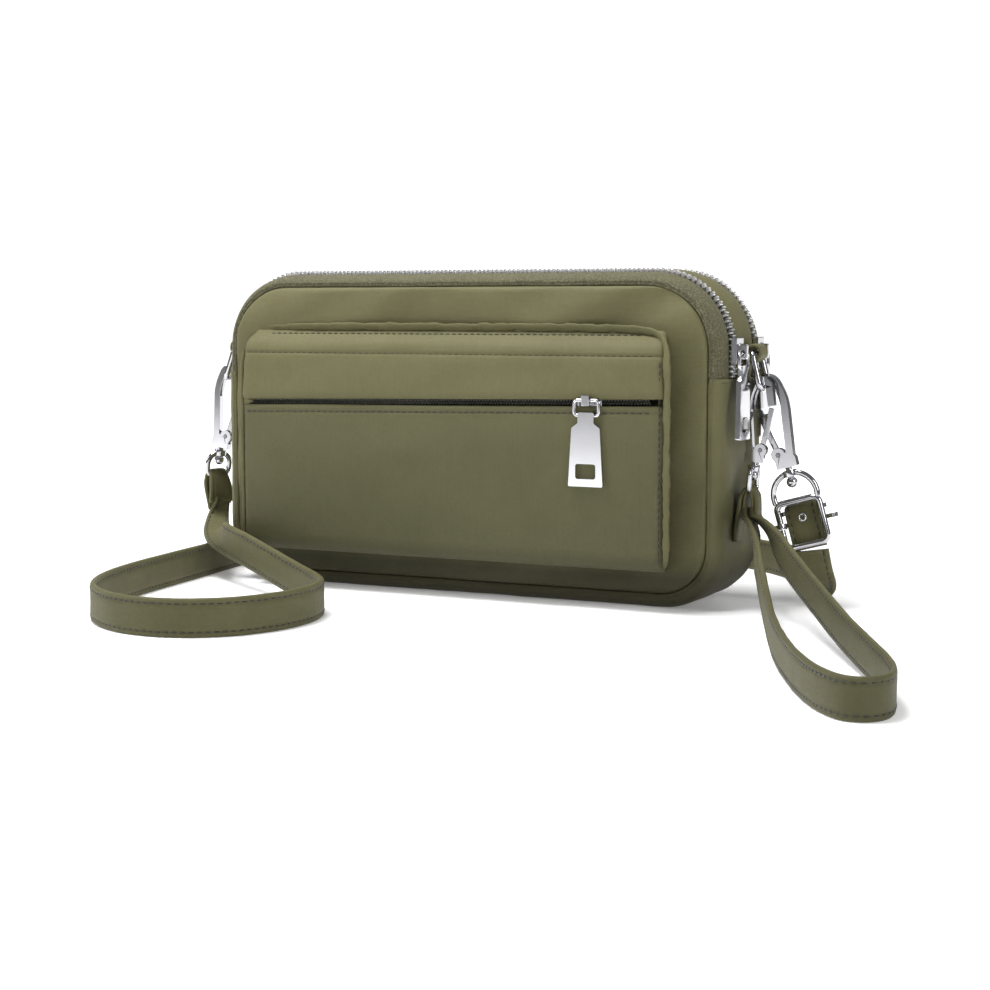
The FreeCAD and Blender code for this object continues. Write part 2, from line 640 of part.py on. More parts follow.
def fitting_parts():
    save("left_tab", tab(LEFT_BAR_X))
    save("right_tab", tab(RIGHT_BAR_X))
    save("left_d_ring", d_ring(LEFT_BAR_X, LEFT_RING_TILT))
    save("right_d_ring", d_ring(RIGHT_BAR_X, RIGHT_RING_TILT))
    left = shoulder_clip("left", LEFT_BAR_X, LEFT_RING_TILT, LEFT_LEAN, 0.0)
    save("left_strap_ring", placed(strap_ring(), **left))
    ring_low = placed(Part.Vertex(SWIVEL_P, 0, LEFT_RING_LOW), **left).Point
    save("strap_loop_end", placed(strap_loop_end(), turn_z=LEFT_RING_TURN, lean=-20.0, at=ring_low))
    right = shoulder_clip("right", RIGHT_BAR_X, RIGHT_RING_TILT, RIGHT_LEAN, HOOK_OFFSET_Y)
    save("right_buckle", placed(buckle_frame(), **right))
    save("buckle_prong", placed(prong(), **right))
    save("strap_buckle_end", placed(strap_buckle_end(), **right))


# Wrist strap


def wrist_ring():
    """The swivel ring under the wrist hook; its bar lies front to back."""
    ring = rounded_wire_ring(5.6, -34.4, -44.0, 2.4, 1.15)
    turned = placed(ring, turn_z=90, at=Vector(SWIVEL_P, 0, 0))
    return union([turned, swivel_eye(-33.8)]).cut(swivel_bore())


def wrist_fold():
    """The strap's gathered fold over the ring's bar."""
    x = SWIVEL_P
    low = WRIST_FOLD_LOW
    route = [Vector(x - 1.5, 0, low), Vector(x - 2.0, 0, low + 3.6), Vector(x - 2.0, 0, -41.8),
             Vector(x + 2.0, 0, -41.8), Vector(x + 2.0, 0, low + 3.6), Vector(x + 1.5, 0, low)]
    face = band_face(route, 0.7, Vector(0, 1, 0))
    face.translate(Vector(0, -4.2, 0))
    return face.extrude(Vector(0, 8.4, 0))


def wrist_parts():
    at = ring_foot(RIGHT_BAR_X, RIGHT_RING_TILT) - Vector(0, HOOK_OFFSET_Y, 0)
    where = {"lean": WRIST_LEAN, "at": at, "mirror": True}
    pieces = {
        "wrist_hook": hook_body(),
        "wrist_gate": hook_gate(),
        "wrist_gate_pin": gate_pin(),
        "wrist_swivel_stud": swivel_stud(36.0),
        "wrist_ring": wrist_ring(),
        "wrist_fold": wrist_fold(),
    }
    for name, shape in pieces.items():
        small = shape.copy()
        small.scale(WRIST_SCALE, Vector(0, 0, 0))
        save(name, placed(small, **where))
    save("wrist_strap", ribbon(WRIST_LOOP, wrist_across, WRIST_WIDTH, WRIST_THICKNESS))
    report_route("wrist strap", WRIST_LOOP)


# Straps


def stations(points):
    """Points along a smooth route with the share of the length passed and the direction of travel."""
    edges = smooth_edges(points)
    total = sum(edge.Length for edge in edges)
    passed = 0.0
    result = []
    for edge in edges:
        steps = 3 if edge.Curve.TypeId == "Part::GeomCircle" else 1
        for step in range(steps):
            parameter = edge.FirstParameter + (edge.LastParameter - edge.FirstParameter) * step / steps
            share = (passed + edge.Length * step / steps) / total
            result.append((edge.valueAt(parameter), share, edge.tangentAt(parameter)))
        passed += edge.Length
    last = edges[-1]
    result.append((last.valueAt(last.LastParameter), 1.0, last.tangentAt(last.LastParameter)))
    return result


def ribbon(points, across, width, thickness):
    """A flat strap along a route; across gives the direction of its width at a share of the length."""
    wires = []
    for centre, share, tangent in stations([Vector(*p) for p in points]):
        wide = across(share)
        wide = (wide - tangent * wide.dot(tangent)).normalize()
        thin = tangent.cross(wide).normalize()
        corners = []
        for a, b in ((1, 1), (1, -1), (-1, -1), (-1, 1)):
            corners.append(centre + wide * (a * width / 2) + thin * (b * thickness / 2))
        wires.append(Part.makePolygon(corners + corners[:1]))
    return Part.makeLoft(wires, True, True)


def mix(a, b, t):
    share = min(max(t, 0.0), 1.0)
    return a * (1 - share) + b * share


def left_across(share):
    return mix(Vector(-0.15, -0.99, 0), Vector(0, 0, 1), (share - 0.07) / 0.38)


def right_across(share):
    return mix(Vector(0.964, 0, 0.267), Vector(0, 0, 1), (share - 0.15) / 0.6)


def wrist_across(share):
    """Front to back at the fold, upright along the floor."""
    end = min(share, 1 - share)
    return mix(Vector(0.1, -1.0, 0), Vector(0, 0, 1), (end - 0.01) / 0.09)


def report_route(name, corners):
    points = [Vector(*p) for p in corners]
    length = sum(edge.Length for edge in smooth_edges(points))
    radii = ", ".join(f"{r:.0f}" for r in route_radii(points))
    print(f"{name}: length {length:.0f} mm, radii {radii}")


def floor_band(points):
    """A stretch of strap that stands on its edge on the ground."""
    route = [Vector(x, y, 0) for x, y in points]
    band = band_face(route, STRAP_THICKNESS / 2, Vector(0, 0, 1)).extrude(Vector(0, 0, STRAP_WIDTH))
    length = sum(edge.Length for edge in smooth_edges(route))
    print(f"floor band: volume {band.Volume:.0f}, section times length {length * STRAP_WIDTH * STRAP_THICKNESS:.0f}")
    return band


def strap_parts():
    save("strap_left_drop", ribbon(LEFT_DROP, left_across, STRAP_WIDTH, STRAP_THICKNESS))
    save("strap_front_loop", floor_band(LEFT_FLOOR))
    save("strap_rear_run", floor_band(RIGHT_FLOOR))
    save("strap_right_drop", ribbon(RIGHT_DROP, right_across, STRAP_WIDTH, STRAP_THICKNESS))
    x, y = LEFT_FLOOR[-1]
    sleeve = box(x - 4, x + 4, y - 2.4, y + 2.4, 0.0, STRAP_WIDTH + 0.9)
    sleeve = sleeve.cut(box(x - 5, x + 5, y - 1.5, y + 1.5, -1.0, STRAP_WIDTH + 0.1))
    save("strap_keeper", sleeve)
    report_route("left drop", LEFT_DROP)
    report_route("front loop", [(x, y, 0) for x, y in LEFT_FLOOR])
    report_route("rear run", [(x, y, 0) for x, y in RIGHT_FLOOR])
    report_route("right drop", RIGHT_DROP)


body_parts()
pocket_parts()
pocket_slider_parts()
main_slider_parts("front", -1)
main_slider_parts("rear", 1)
fitting_parts()
wrist_parts()
strap_parts()
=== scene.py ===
import math

import bpy
import numpy as np
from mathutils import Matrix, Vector, noise


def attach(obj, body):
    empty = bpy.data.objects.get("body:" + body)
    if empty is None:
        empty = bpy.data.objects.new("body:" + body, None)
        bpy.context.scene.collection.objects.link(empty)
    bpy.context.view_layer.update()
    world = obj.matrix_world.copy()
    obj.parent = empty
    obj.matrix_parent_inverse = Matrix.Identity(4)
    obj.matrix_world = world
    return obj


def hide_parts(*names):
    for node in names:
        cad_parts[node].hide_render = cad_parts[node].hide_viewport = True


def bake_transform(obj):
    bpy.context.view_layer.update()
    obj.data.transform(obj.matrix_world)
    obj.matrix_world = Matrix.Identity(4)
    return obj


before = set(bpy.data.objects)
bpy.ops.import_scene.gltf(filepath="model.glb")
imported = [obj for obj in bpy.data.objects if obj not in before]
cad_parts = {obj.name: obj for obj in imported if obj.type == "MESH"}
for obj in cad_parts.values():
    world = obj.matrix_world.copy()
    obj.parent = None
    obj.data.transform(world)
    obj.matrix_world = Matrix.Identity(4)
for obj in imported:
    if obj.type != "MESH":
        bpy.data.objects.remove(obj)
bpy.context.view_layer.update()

MM = 0.001

# The bag's size, in millimetres, as in the CAD source

SEAM_X = 105.2  # the seam line round each panel: sides, top and bottom
SEAM_TOP = 123.5
SEAM_BOTTOM = 5.5
R_TOP = 25.0
R_BOTTOM = 19.0
PANEL_Y = 25.0  # how far each panel stands from the bag's middle
MIDDLE_Z = 62.0
TAPE_END = 88.0  # the height where the zip tapes end at the sides
CHAIN_Y = 12.6
TEETH_PITCH = 1.9
POCKET_L = -94.0  # the pocket's face
POCKET_R = 92.3
BASE_L = -92.0  # the pocket's foot, where it is sewn to the panel
BASE_R = 88.0
POCKET_BACK = -25.6
POCKET_DEEP = 12.4
SLOT = 78.0  # the height of the pocket's zip at the bag's middle
SLOPE = 0.018
COIL_PITCH = 0.62
BAR_Z = 97.5  # the bars of the two D-rings
RIGHT_BAR = 115.5
LEFT_BAR = 119.0
CLIP_HANG = (118.887, 1.95, 83.916)  # where the right clip hangs from its D-ring
CLIP_LEAN = -15.5  # degrees

# Sizes of cloth and straps, in millimetres

CLOTH = 0.9
STRAP_WIDE = 14.0
STRAP_THICK = 2.3
WRIST_WIDE = 13.0
WRIST_THICK = 2.0
STITCH_ROW = 0.72  # where a strap's stitches run, as a share of its half width

FLOOR_GAP = 0.05  # the bag's cloth and the straps stay this far above the floor
STRAP_GAP = 0.04

# The camera's view: degrees below level, degrees round from the front, and its level direction

LOOKS_DOWN = 5.57
TURNED = 26.13
AWAY = (-0.44, 0.895, 0.0)

# Camera

camera = bpy.data.objects.new("camera", bpy.data.cameras.new("camera"))
bpy.context.scene.collection.objects.link(camera)
camera.location = (0.34651, -0.69788, 0.1139)
camera.rotation_euler = (math.radians(90 - LOOKS_DOWN), 0, math.radians(TURNED))
camera.data.lens = 69.09
camera.data.sensor_width = 36
camera.data.clip_start = 0.02
bpy.context.scene.camera = camera
bpy.context.scene.view_settings.view_transform = "Standard"


# Materials


class Nodes:
    """A short way to build a material's nodes."""

    def __init__(self, name):
        self.material = bpy.data.materials.new(name)
        self.material.use_nodes = True
        self.tree = self.material.node_tree
        self.shader = self.tree.nodes["Principled BSDF"]

    def add(self, kind, inputs=None, **settings):
        node = self.tree.nodes.new(kind)
        for key, value in settings.items():
            setattr(node, key, value)
        for key, value in (inputs or {}).items():
            if isinstance(value, bpy.types.NodeSocket):
                self.tree.links.new(value, node.inputs[key])
            else:
                node.inputs[key].default_value = value
        return node

    def math(self, operation, a, b=0.0, c=0.0):
        return self.add("ShaderNodeMath", {0: a, 1: b, 2: c}, operation=operation).outputs[0]

    def noise(self, vector, scale, detail=2.0, rough=0.5):
        inputs = {"Vector": vector, "Scale": scale, "Detail": detail, "Roughness": rough}
        return self.add("ShaderNodeTexNoise", inputs).outputs["Fac"]

    def ramp(self, value, stops):
        node = self.add("ShaderNodeValToRGB", {"Fac": value})
        ramp = node.color_ramp
        while len(ramp.elements) < len(stops):
            ramp.elements.new(0.5)
        for element, (position, colour) in zip(ramp.elements, stops):
            element.position = position
            element.color = (*colour, 1)
        return node.outputs["Color"]

    def mix(self, factor, a, b, blend="MIX"):
        node = self.add("ShaderNodeMix", data_type="RGBA", blend_type=blend)
        for index, value in ((0, factor), (6, a), (7, b)):
            if isinstance(value, bpy.types.NodeSocket):
                self.tree.links.new(value, node.inputs[index])
            else:
                node.inputs[index].default_value = value if index == 0 else (*value, 1)
        return node.outputs[2]

    def set(self, **values):
        for key, value in values.items():
            socket = self.shader.inputs[key.replace("_", " ")]
            if isinstance(value, bpy.types.NodeSocket):
                self.tree.links.new(value, socket)
            else:
                socket.default_value = value

    def bump(self, height, strength, distance):
        inputs = {"Height": height, "Strength": strength, "Distance": distance}
        node = self.add("ShaderNodeBump", inputs)
        self.tree.links.new(node.outputs["Normal"], self.shader.inputs["Normal"])


# Painted shade low down: how far the cloth is darkened towards the floor: (height in tenths of a
# metre, grey)

PAINTED_LOW_SHADE = [(0.12, (0.30,) * 3), (0.23, (0.81,) * 3), (0.75, (1.0,) * 3)]


def cloth(name, light, dark, pitch, rough, sheen, weave, twill=0.0, speckle=0.0, flat_map=True,
          painted_low_shade=1.0):
    """Woven cloth: crossing threads with a painted highlight on their tops, slubs, patchy colour
    with painted sheen streaks, painted shade low down and a soft sheen.

    pitch: distance between threads in millimetres.
    flat_map: threads follow the UV map.
    """
    n = Nodes(name)
    where = n.add("ShaderNodeTexCoord")
    threads = where.outputs["UV"] if flat_map else where.outputs["Object"]
    apart = n.add("ShaderNodeSeparateXYZ", {"Vector": threads})
    turn = 2 * math.pi / (pitch * MM)
    u = apart.outputs["X"]
    v = apart.outputs["Y"] if flat_map else apart.outputs["Z"]
    slant = n.math("MULTIPLY", v, twill)
    warp = n.math("SINE", n.math("MULTIPLY", n.math("ADD", u, slant), turn))
    weft = n.math("SINE", n.math("MULTIPLY", v, turn * 1.1))
    if twill == 0:
        height = n.math("MULTIPLY", warp, weft)
    else:
        height = n.math("ADD", warp, n.math("MULTIPLY", weft, 0.4))
    patches = n.noise(where.outputs["Object"], 28.0, 3.0)
    slubs = n.noise(where.outputs["Object"], 900.0, 3.0, 0.6)
    wear = n.noise(where.outputs["Object"], 160.0, 4.0, 0.6)
    # Painted sheen: fine streaks along the threads, stretched noise added to the colour.
    drawn = n.add("ShaderNodeMapping", {"Vector": threads, "Scale": (60.0, 1600.0, 1.0)}).outputs[0]
    sheen_streaks = n.noise(drawn, 1.0, 2.0)
    tone = n.math("ADD", n.math("MULTIPLY", patches, 0.45), n.math("MULTIPLY", wear, 0.30))
    tone = n.math("ADD", tone, n.math("MULTIPLY", sheen_streaks, 0.25))
    colour = n.ramp(tone, [(0.3, dark), (0.7, light)])
    # Painted highlight: the tops of the raised threads are lighter.
    raised = n.math("MULTIPLY_ADD", height, 0.5, 0.5)
    thread_top_highlight = tuple(min(1, c * 1.9 + 0.02) for c in light)
    colour = n.mix(n.math("MULTIPLY", raised, 0.10), colour, thread_top_highlight)
    colour = n.mix(n.math("MULTIPLY", slubs, 0.35), colour, tuple(c * 0.6 for c in dark))
    # Painted shade: the colour darkens towards the floor, as shade falls low on the bag.
    height_up = n.add("ShaderNodeSeparateXYZ", {"Vector": where.outputs["Object"]}).outputs["Z"]
    low_shade_grey = n.ramp(n.math("MULTIPLY", height_up, 10.0), PAINTED_LOW_SHADE)
    colour = n.mix(painted_low_shade, colour, low_shade_grey, "MULTIPLY")
    if speckle:
        flecks = n.noise(where.outputs["Object"], 1500.0, 1.0)
        span = {"Value": flecks, 1: 0.45, 2: 0.62, 3: 0.0, 4: speckle}
        shown = n.add("ShaderNodeMapRange", span).outputs[0]
        colour = n.mix(shown, colour, tuple(c * 2.6 for c in light))
    n.set(Base_Color=colour, Roughness=n.math("MULTIPLY_ADD", slubs, 0.2, rough - 0.1))
    n.set(Specular_IOR_Level=0.22, Sheen_Weight=sheen, Sheen_Roughness=0.45)
    n.shader.inputs["Sheen Tint"].default_value = (0.80, 0.78, 0.55, 1)
    total = n.math("ADD", n.math("MULTIPLY", height, weave), n.math("MULTIPLY", slubs, 0.8))
    total = n.math("ADD", total, n.math("MULTIPLY", wear, 0.5))
    n.bump(total, 0.5, 0.00006)
    return n.material


def thread_material(name, colour):
    """Sewing thread: plies twisted along the dash."""
    n = Nodes(name)
    where = n.add("ShaderNodeTexCoord")
    apart = n.add("ShaderNodeSeparateXYZ", {"Vector": where.outputs["UV"]})
    along = n.math("MULTIPLY", apart.outputs["X"], 9000.0)
    around = n.math("MULTIPLY", apart.outputs["Y"], 6.3)
    ply = n.math("SINE", n.math("ADD", along, around))
    fuzz = n.noise(where.outputs["Object"], 700.0)
    base = n.mix(fuzz, tuple(c * 0.6 for c in colour), tuple(c * 1.4 for c in colour))
    n.set(Base_Color=base, Roughness=0.7, Sheen_Weight=0.2)
    n.bump(ply, 0.4, 0.00004)
    return n.material


def metal(name, colour, rough):
    """Plated metal with fine scratches and a little tarnish."""
    n = Nodes(name)
    where = n.add("ShaderNodeTexCoord")
    drawn = {"Vector": where.outputs["Object"], "Scale": (1.0, 1.0, 0.12)}
    scratches = n.noise(n.add("ShaderNodeMapping", drawn).outputs[0], 2600.0, 3.0, 0.7)
    cloud = n.noise(where.outputs["Object"], 120.0, 3.0)
    tone = n.mix(n.math("MULTIPLY", cloud, 0.25), colour, tuple(c * 0.72 for c in colour))
    n.set(Base_Color=tone, Metallic=1.0)
    n.set(Roughness=n.math("MULTIPLY_ADD", scratches, 0.10, rough))
    n.bump(n.math("ADD", n.math("MULTIPLY", scratches, 0.12), cloud), 0.12, 0.0001)
    return n.material


BAG_WEAVE = {"pitch": 0.46, "rough": 0.58, "sheen": 0.05, "weave": 1.0}
# Straps take a quarter of the painted shade low down.
STRAP_WEAVE = {"pitch": 0.5, "rough": 0.58, "sheen": 0.06, "weave": 1.0, "painted_low_shade": 0.25}

nylon = cloth("nylon", (0.166, 0.157, 0.074), (0.122, 0.115, 0.052), **BAG_WEAVE)
# Painted shade: a darker copy of the bag's nylon, for the pocket's lower panel.
shaded_nylon = cloth("nylon_painted_shade", (0.134, 0.127, 0.061), (0.104, 0.099, 0.046), **BAG_WEAVE)
webbing = cloth("strap_nylon", (0.150, 0.142, 0.066), (0.100, 0.094, 0.040), **STRAP_WEAVE)
# Painted shade: a darker copy of the strap webbing, for the wrist strap.
shaded_wrist_webbing = cloth("wrist_nylon_painted_shade", (0.122, 0.116, 0.054), (0.084, 0.079, 0.034), **STRAP_WEAVE)
tape = cloth("zip_tape", (0.120, 0.113, 0.066), (0.070, 0.066, 0.038),
             pitch=0.9, rough=0.8, sheen=0.08, weave=1.8, twill=0.9, speckle=0.30)
# Painted shade: a near-black copy of the zip tape, for tape seen only in shade.
dark_tape = cloth("dark_tape", (0.030, 0.029, 0.019), (0.018, 0.017, 0.011),
                  pitch=0.7, rough=0.8, sheen=0.05, weave=1.4, twill=0.9)
lining = cloth("lining_cloth", (0.10, 0.095, 0.055), (0.07, 0.066, 0.036),
               pitch=0.4, rough=0.6, sheen=0.05, weave=0.8, flat_map=False)
thread = thread_material("thread", (0.042, 0.038, 0.017))
dark_thread = thread_material("dark_thread", (0.022, 0.020, 0.010))
nickel = metal("nickel", (0.72, 0.72, 0.74), 0.07)
hook_nickel = metal("hook_nickel", (0.56, 0.56, 0.58), 0.06)
aged_nickel = metal("aged_nickel", (0.26, 0.26, 0.27), 0.16)
teeth_metal = metal("teeth_metal", (0.97, 0.97, 0.98), 0.30)
coil_metal = metal("coil_dark", (0.10, 0.10, 0.085), 0.35)


# Mesh building


class Form:
    """Points, faces and a flat map, in millimetres, that become one piece."""

    def __init__(self):
        self.points = []
        self.faces = []
        self.map = []
        self.count = 0

    def add(self, points, faces, corners):
        points = np.asarray(points, float).reshape(-1, 3)
        self.points.append(points)
        self.faces += [[int(i) + self.count for i in face] for face in faces]
        self.map.append(np.asarray(corners, float).reshape(-1, 2))
        self.count += len(points)

    def lattice(self, points, u, v, closed=False, ends=False, flip=False):
        """A grid of points, m by n.

        u and v are the flat map's values along its rows and columns.
        """
        points = np.asarray(points, float)
        m, n = points.shape[:2]
        columns = n if closed else n - 1
        i, j = np.meshgrid(np.arange(m - 1), np.arange(columns), indexing="ij")
        k = (j + 1) % n
        faces = [i * n + j, (i + 1) * n + j, (i + 1) * n + k, i * n + k]
        faces = np.stack(faces, -1).reshape(-1, 4)
        u = np.asarray(u, float)
        v = np.asarray(v, float)
        corners = [u[i], v[j], u[i + 1], v[j], u[i + 1], v[j + 1], u[i], v[j + 1]]
        corners = np.stack(corners, -1).reshape(-1, 4, 2)
        if flip:
            faces = faces[:, ::-1]
            corners = corners[:, ::-1]
        faces = faces.tolist()
        corners = corners.reshape(-1, 2)
        if ends:
            caps = [list(range(n))[::-1], list(range((m - 1) * n, m * n))]
            if flip:
                caps = [c[::-1] for c in caps]
            faces += caps
            corners = np.vstack([corners, np.zeros((2 * n, 2))])
        self.add(points, faces, corners)

    def build(self, name, material, body, stands_for=(), smooth=True):
        mesh = bpy.data.meshes.new(name)
        points = np.vstack(self.points) * MM
        mesh.from_pydata(points.tolist(), [], self.faces)
        layer = mesh.uv_layers.new(name="UVMap")
        layer.data.foreach_set("uv", (np.vstack(self.map) * MM).astype(np.float32).ravel())
        mesh.polygons.foreach_set("use_smooth", [smooth] * len(mesh.polygons))
        mesh.materials.append(material)
        mesh.update()
        piece = bpy.data.objects.new(name, mesh)
        bpy.context.scene.collection.objects.link(piece)
        if body:
            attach(piece, body)
        if stands_for:
            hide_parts(*stands_for)
        return piece


def unit(a):
    a = np.asarray(a, float)
    return a / np.maximum(np.linalg.norm(a, axis=-1, keepdims=True), 1e-9)


def run_length(path):
    path = np.asarray(path, float)
    return np.concatenate([[0], np.cumsum(np.linalg.norm(np.diff(path, axis=0), axis=1))])


def part_way(at, s, values):
    """The values at one length along a path whose points lie at the lengths s."""
    return np.array([np.interp(at, s, column) for column in values.T])


def ripple(points, size, amount, seed=0.0):
    """Smooth unevenness at each point, of about the given size in millimetres."""
    flat = np.asarray(points, float).reshape(-1, 3)
    values = [noise.noise(Vector(p / size) + Vector((seed, 1.7 * seed, 3.1 * seed))) for p in flat]
    return amount * np.array(values).reshape(np.asarray(points).shape[:-1])


def slanted(points, angle, stretch):
    """The same places drawn out along a slant, so that ripples on them become folds."""
    a = math.radians(angle)
    along = points[..., 0] * math.cos(a) + points[..., 2] * math.sin(a)
    square = points[..., 2] * math.cos(a) - points[..., 0] * math.sin(a)
    return np.stack([along / stretch, np.zeros_like(along), square], -1)


def softened(path, step=1.0, passes=3):
    """Points close together along a path, with its corners eased."""
    path = np.asarray(path, float)
    s = run_length(path)
    at = np.linspace(0, s[-1], max(3, int(s[-1] / step) + 1))
    dense = np.stack([np.interp(at, s, path[:, k]) for k in range(path.shape[1])], 1)
    for _ in range(passes):
        dense[1:-1] = 0.25 * dense[:-2] + 0.5 * dense[1:-1] + 0.25 * dense[2:]
    return dense


def dashes(name, rows, material, body, pitch, length, radius):
    """Sewn stitches. Each row is a path with the direction that stands off the cloth."""
    form = Form()
    turns = np.linspace(0, 2 * math.pi, 7)[:-1]
    along = np.array([-0.5, -0.36, 0.36, 0.5]) * length
    size = np.array([0.25, 1.0, 1.0, 0.25]) * radius
    for path, off in rows:
        path = np.asarray(path, float)
        off = unit(np.broadcast_to(off, path.shape))
        s = run_length(path)
        for i in range(int(s[-1] / pitch)):
            at = (i + 0.5) * pitch
            centre = part_way(at, s, path)
            t = unit(part_way(at + 0.4, s, path) - part_way(at - 0.4, s, path))
            up = part_way(at, s, off)
            up = unit(up - t * (up @ t))
            side = np.cross(t, up)
            wobble = side * 0.12 * noise.noise(Vector(centre * 1.3))
            ring = np.cos(turns)[:, None] * side + np.sin(turns)[:, None] * up * 0.8
            points = centre + wobble + along[:, None, None] * t + size[:, None, None] * ring
            form.lattice(points, along + at, turns.tolist() + [6.3], closed=True, ends=True)
    return form.build(name, material, body)


# The seam line round the bag's front

LONG_STEP = 1.6  # the top's and bottom's points stand this many times further apart


def arc(cx, cz, radius, first, last, step):
    """Points round a corner, from one angle to another, and their outward directions."""
    count = max(4, int(abs(math.radians(last - first)) * radius / step))
    a = np.radians(np.linspace(first, last, count + 1))
    normals = np.stack([np.cos(a), np.sin(a)], 1)
    return np.stack([cx + radius * np.cos(a), cz + radius * np.sin(a)], 1), normals


def straight(x0, z0, x1, z1, step):
    """Points along a side of the bag, and their outward directions."""
    count = max(1, int(math.hypot(x1 - x0, z1 - z0) / step))
    t = np.linspace(0, 1, count + 1)[:, None]
    d = unit([x1 - x0, z1 - z0])
    points = np.array([[x0, z0]]) * (1 - t) + np.array([[x1, z1]]) * t
    return points, np.tile([d[1], -d[0]], (count + 1, 1))


def joined(*stretches):
    """Stretches put end to end, without the point that two of them share."""
    points = [stretches[0][0]]
    normals = [stretches[0][1]]
    for p, n in stretches[1:]:
        points.append(p[1:])
        normals.append(n[1:])
    return np.vstack(points), np.vstack(normals)


def upper_track(step=1.5):
    """From the right side over the top to the left side: points and outward directions."""
    cx = SEAM_X - R_TOP
    cz = SEAM_TOP - R_TOP
    return joined(
        straight(SEAM_X, TAPE_END, SEAM_X, cz, step),
        arc(cx, cz, R_TOP, 0, 90, step),
        straight(cx, SEAM_TOP, -cx, SEAM_TOP, step * LONG_STEP),
        arc(-cx, cz, R_TOP, 90, 180, step),
        straight(-SEAM_X, cz, -SEAM_X, TAPE_END, step),
    )


def lower_track(step=1.5):
    """From the left side round the bottom to the right side."""
    cx = SEAM_X - R_BOTTOM
    cz = SEAM_BOTTOM + R_BOTTOM
    return joined(
        straight(-SEAM_X, TAPE_END, -SEAM_X, cz, step),
        arc(-cx, cz, R_BOTTOM, 180, 270, step),
        straight(-cx, SEAM_BOTTOM, cx, SEAM_BOTTOM, step * LONG_STEP),
        arc(cx, cz, R_BOTTOM, 270, 360, step),
        straight(SEAM_X, cz, SEAM_X, TAPE_END, step),
    )


def swept(track, section):
    """A grid: the section's (stand-off, Y) points carried along a track."""
    p, n = track
    section = np.asarray(section, float)
    xz = p[:, None, :] + n[:, None, :] * section[None, :, 0, None]
    y = np.broadcast_to(section[None, :, 1], xz.shape[:2])
    return np.stack([xz[..., 0], y, xz[..., 1]], -1)


def outward(track):
    n = track[1]
    return np.stack([n[:, 0], np.zeros(len(n)), n[:, 1]], 1)


def thick(section, amount):
    """A closed section: the given line and the same line moved inward by the cloth's thickness."""
    section = np.asarray(section, float)
    inner = section.copy()
    inner[:, 0] -= amount
    return np.vstack([section, inner[::-1]])


# Bag body


def panel(name, side, stands_for):
    """The front or rear panel: a padded sheet whose edge turns into the seam."""
    p, n = joined(upper_track(2.0), lower_track(2.0))
    p, n = p[:-1], n[:-1]
    insets = [0.45, 0.55, 0.8, 1.3, 2.1, 3.2, 5.0, 7.5, 10.5, 13.5, 17.0]
    proud = [-1.4, -0.3, 0.4, 0.9, 1.2, 1.35, 1.55, 1.7, 1.8, 1.85, 1.9]
    rows = []
    for inset, rise in zip(insets, proud):
        q = p - n * inset
        rows.append(np.stack([q[:, 0], np.full(len(q), -PANEL_Y - rise), q[:, 1]], 1))
    edge = rows[-1]
    core = np.array([0.0, edge[0, 1], MIDDLE_Z])
    inward = np.append(np.linspace(0, 1, 23)[1:-1], 0.985)
    for t in inward:
        rows.append(edge * (1 - t) + core * t)
    grid = np.array(rows)
    weight = np.ones(len(rows))[:, None]
    weight[:4, 0] = (0, 0.1, 0.4, 0.8)
    puffs = ripple(grid, 42.0, 1.0, 2.0 + side) + ripple(grid, 17.0, 0.4, 5.0 + side)
    grid[..., 1] -= weight * puffs
    grid[..., 1] -= weight * ripple(slanted(grid, 24.0, 3.2), 17.0, 2.9, 14.0 + side)
    near = np.exp(-((np.array(insets + [40] * len(inward)) - 2.5) / 3.0) ** 2)[:, None]
    s = run_length(p)
    pucker = np.array([noise.noise(Vector((a / 4.0, side * 9.0, 0))) for a in s])
    grid[..., 1] -= near * pucker[None, :] * 0.35
    grid[..., 1] *= -side
    form = Form()
    m, k = grid.shape[:2]
    flat = np.stack([grid[..., 0], grid[..., 2]], -1)
    i, j = np.meshgrid(np.arange(m - 1), np.arange(k), indexing="ij")
    h = (j + 1) % k
    faces = np.stack([i * k + j, i * k + h, (i + 1) * k + h, (i + 1) * k + j], -1).reshape(-1, 4)
    if side > 0:
        faces = faces[:, ::-1]
    corners = flat.reshape(-1, 2)[faces.ravel()]
    last = list(range((m - 1) * k, m * k))
    last = last[::-1] if side > 0 else last
    corners = np.vstack([corners, flat.reshape(-1, 2)[last]])
    form.add(grid, faces.tolist() + [last], corners)
    return form.build(name, nylon, "bag", [stands_for])


def band(name, track, section, material, stands_for, give, seed=0.0):
    """A strip carried round the bag, a little uneven."""
    closed = thick(section, CLOTH)
    grid = swept(track, closed)
    direction = outward(track)[:, None, :]
    grid = grid + direction * ripple(grid, 16.0, give, seed)[..., None]
    grid[..., 2] = np.maximum(grid[..., 2], FLOOR_GAP)
    form = Form()
    around = run_length(np.vstack([closed, closed[:1]]))
    form.lattice(grid, run_length(track[0]), around, closed=True, ends=True, flip=True)
    return form.build(name, material, "bag", stands_for)


# Sections of the gussets and the tape: (stand-off from the seam line, Y)

SHOULDER_LINE = [
    (0.4, 23.6), (0.55, 24.6), (1.15, 25.1), (2.0, 24.95),
    (3.3, 24.0), (4.4, 22.6), (5.1, 21.0), (5.45, 19.2),
]
TAPE_LINE = [
    (0.4, 23.6), (0.5, 24.5), (1.05, 25.05), (1.8, 24.8), (2.7, 23.9), (3.5, 22.5),
    (4.1, 20.8), (4.5, 19.0), (4.75, 17.3), (4.85, 16.0), (4.75, 15.1),
]
UNDER_LINE = [(3.9, 15.6), (4.2, 12.6), (4.3, 9.7)]
MIDDLE_LINE = [
    (5.15, -10.1), (5.5, -9.4), (5.9, -7.0), (6.15, -3.5), (6.2, 0.0),
    (6.15, 3.5), (5.9, 7.0), (5.5, 9.4), (5.15, 10.1),
]


def sided(line, side):
    """A section on the front (-1) or the rear (1), always run from front to rear."""
    line = [(u, side * y) for u, y in line]
    return line if side < 0 else line[::-1]


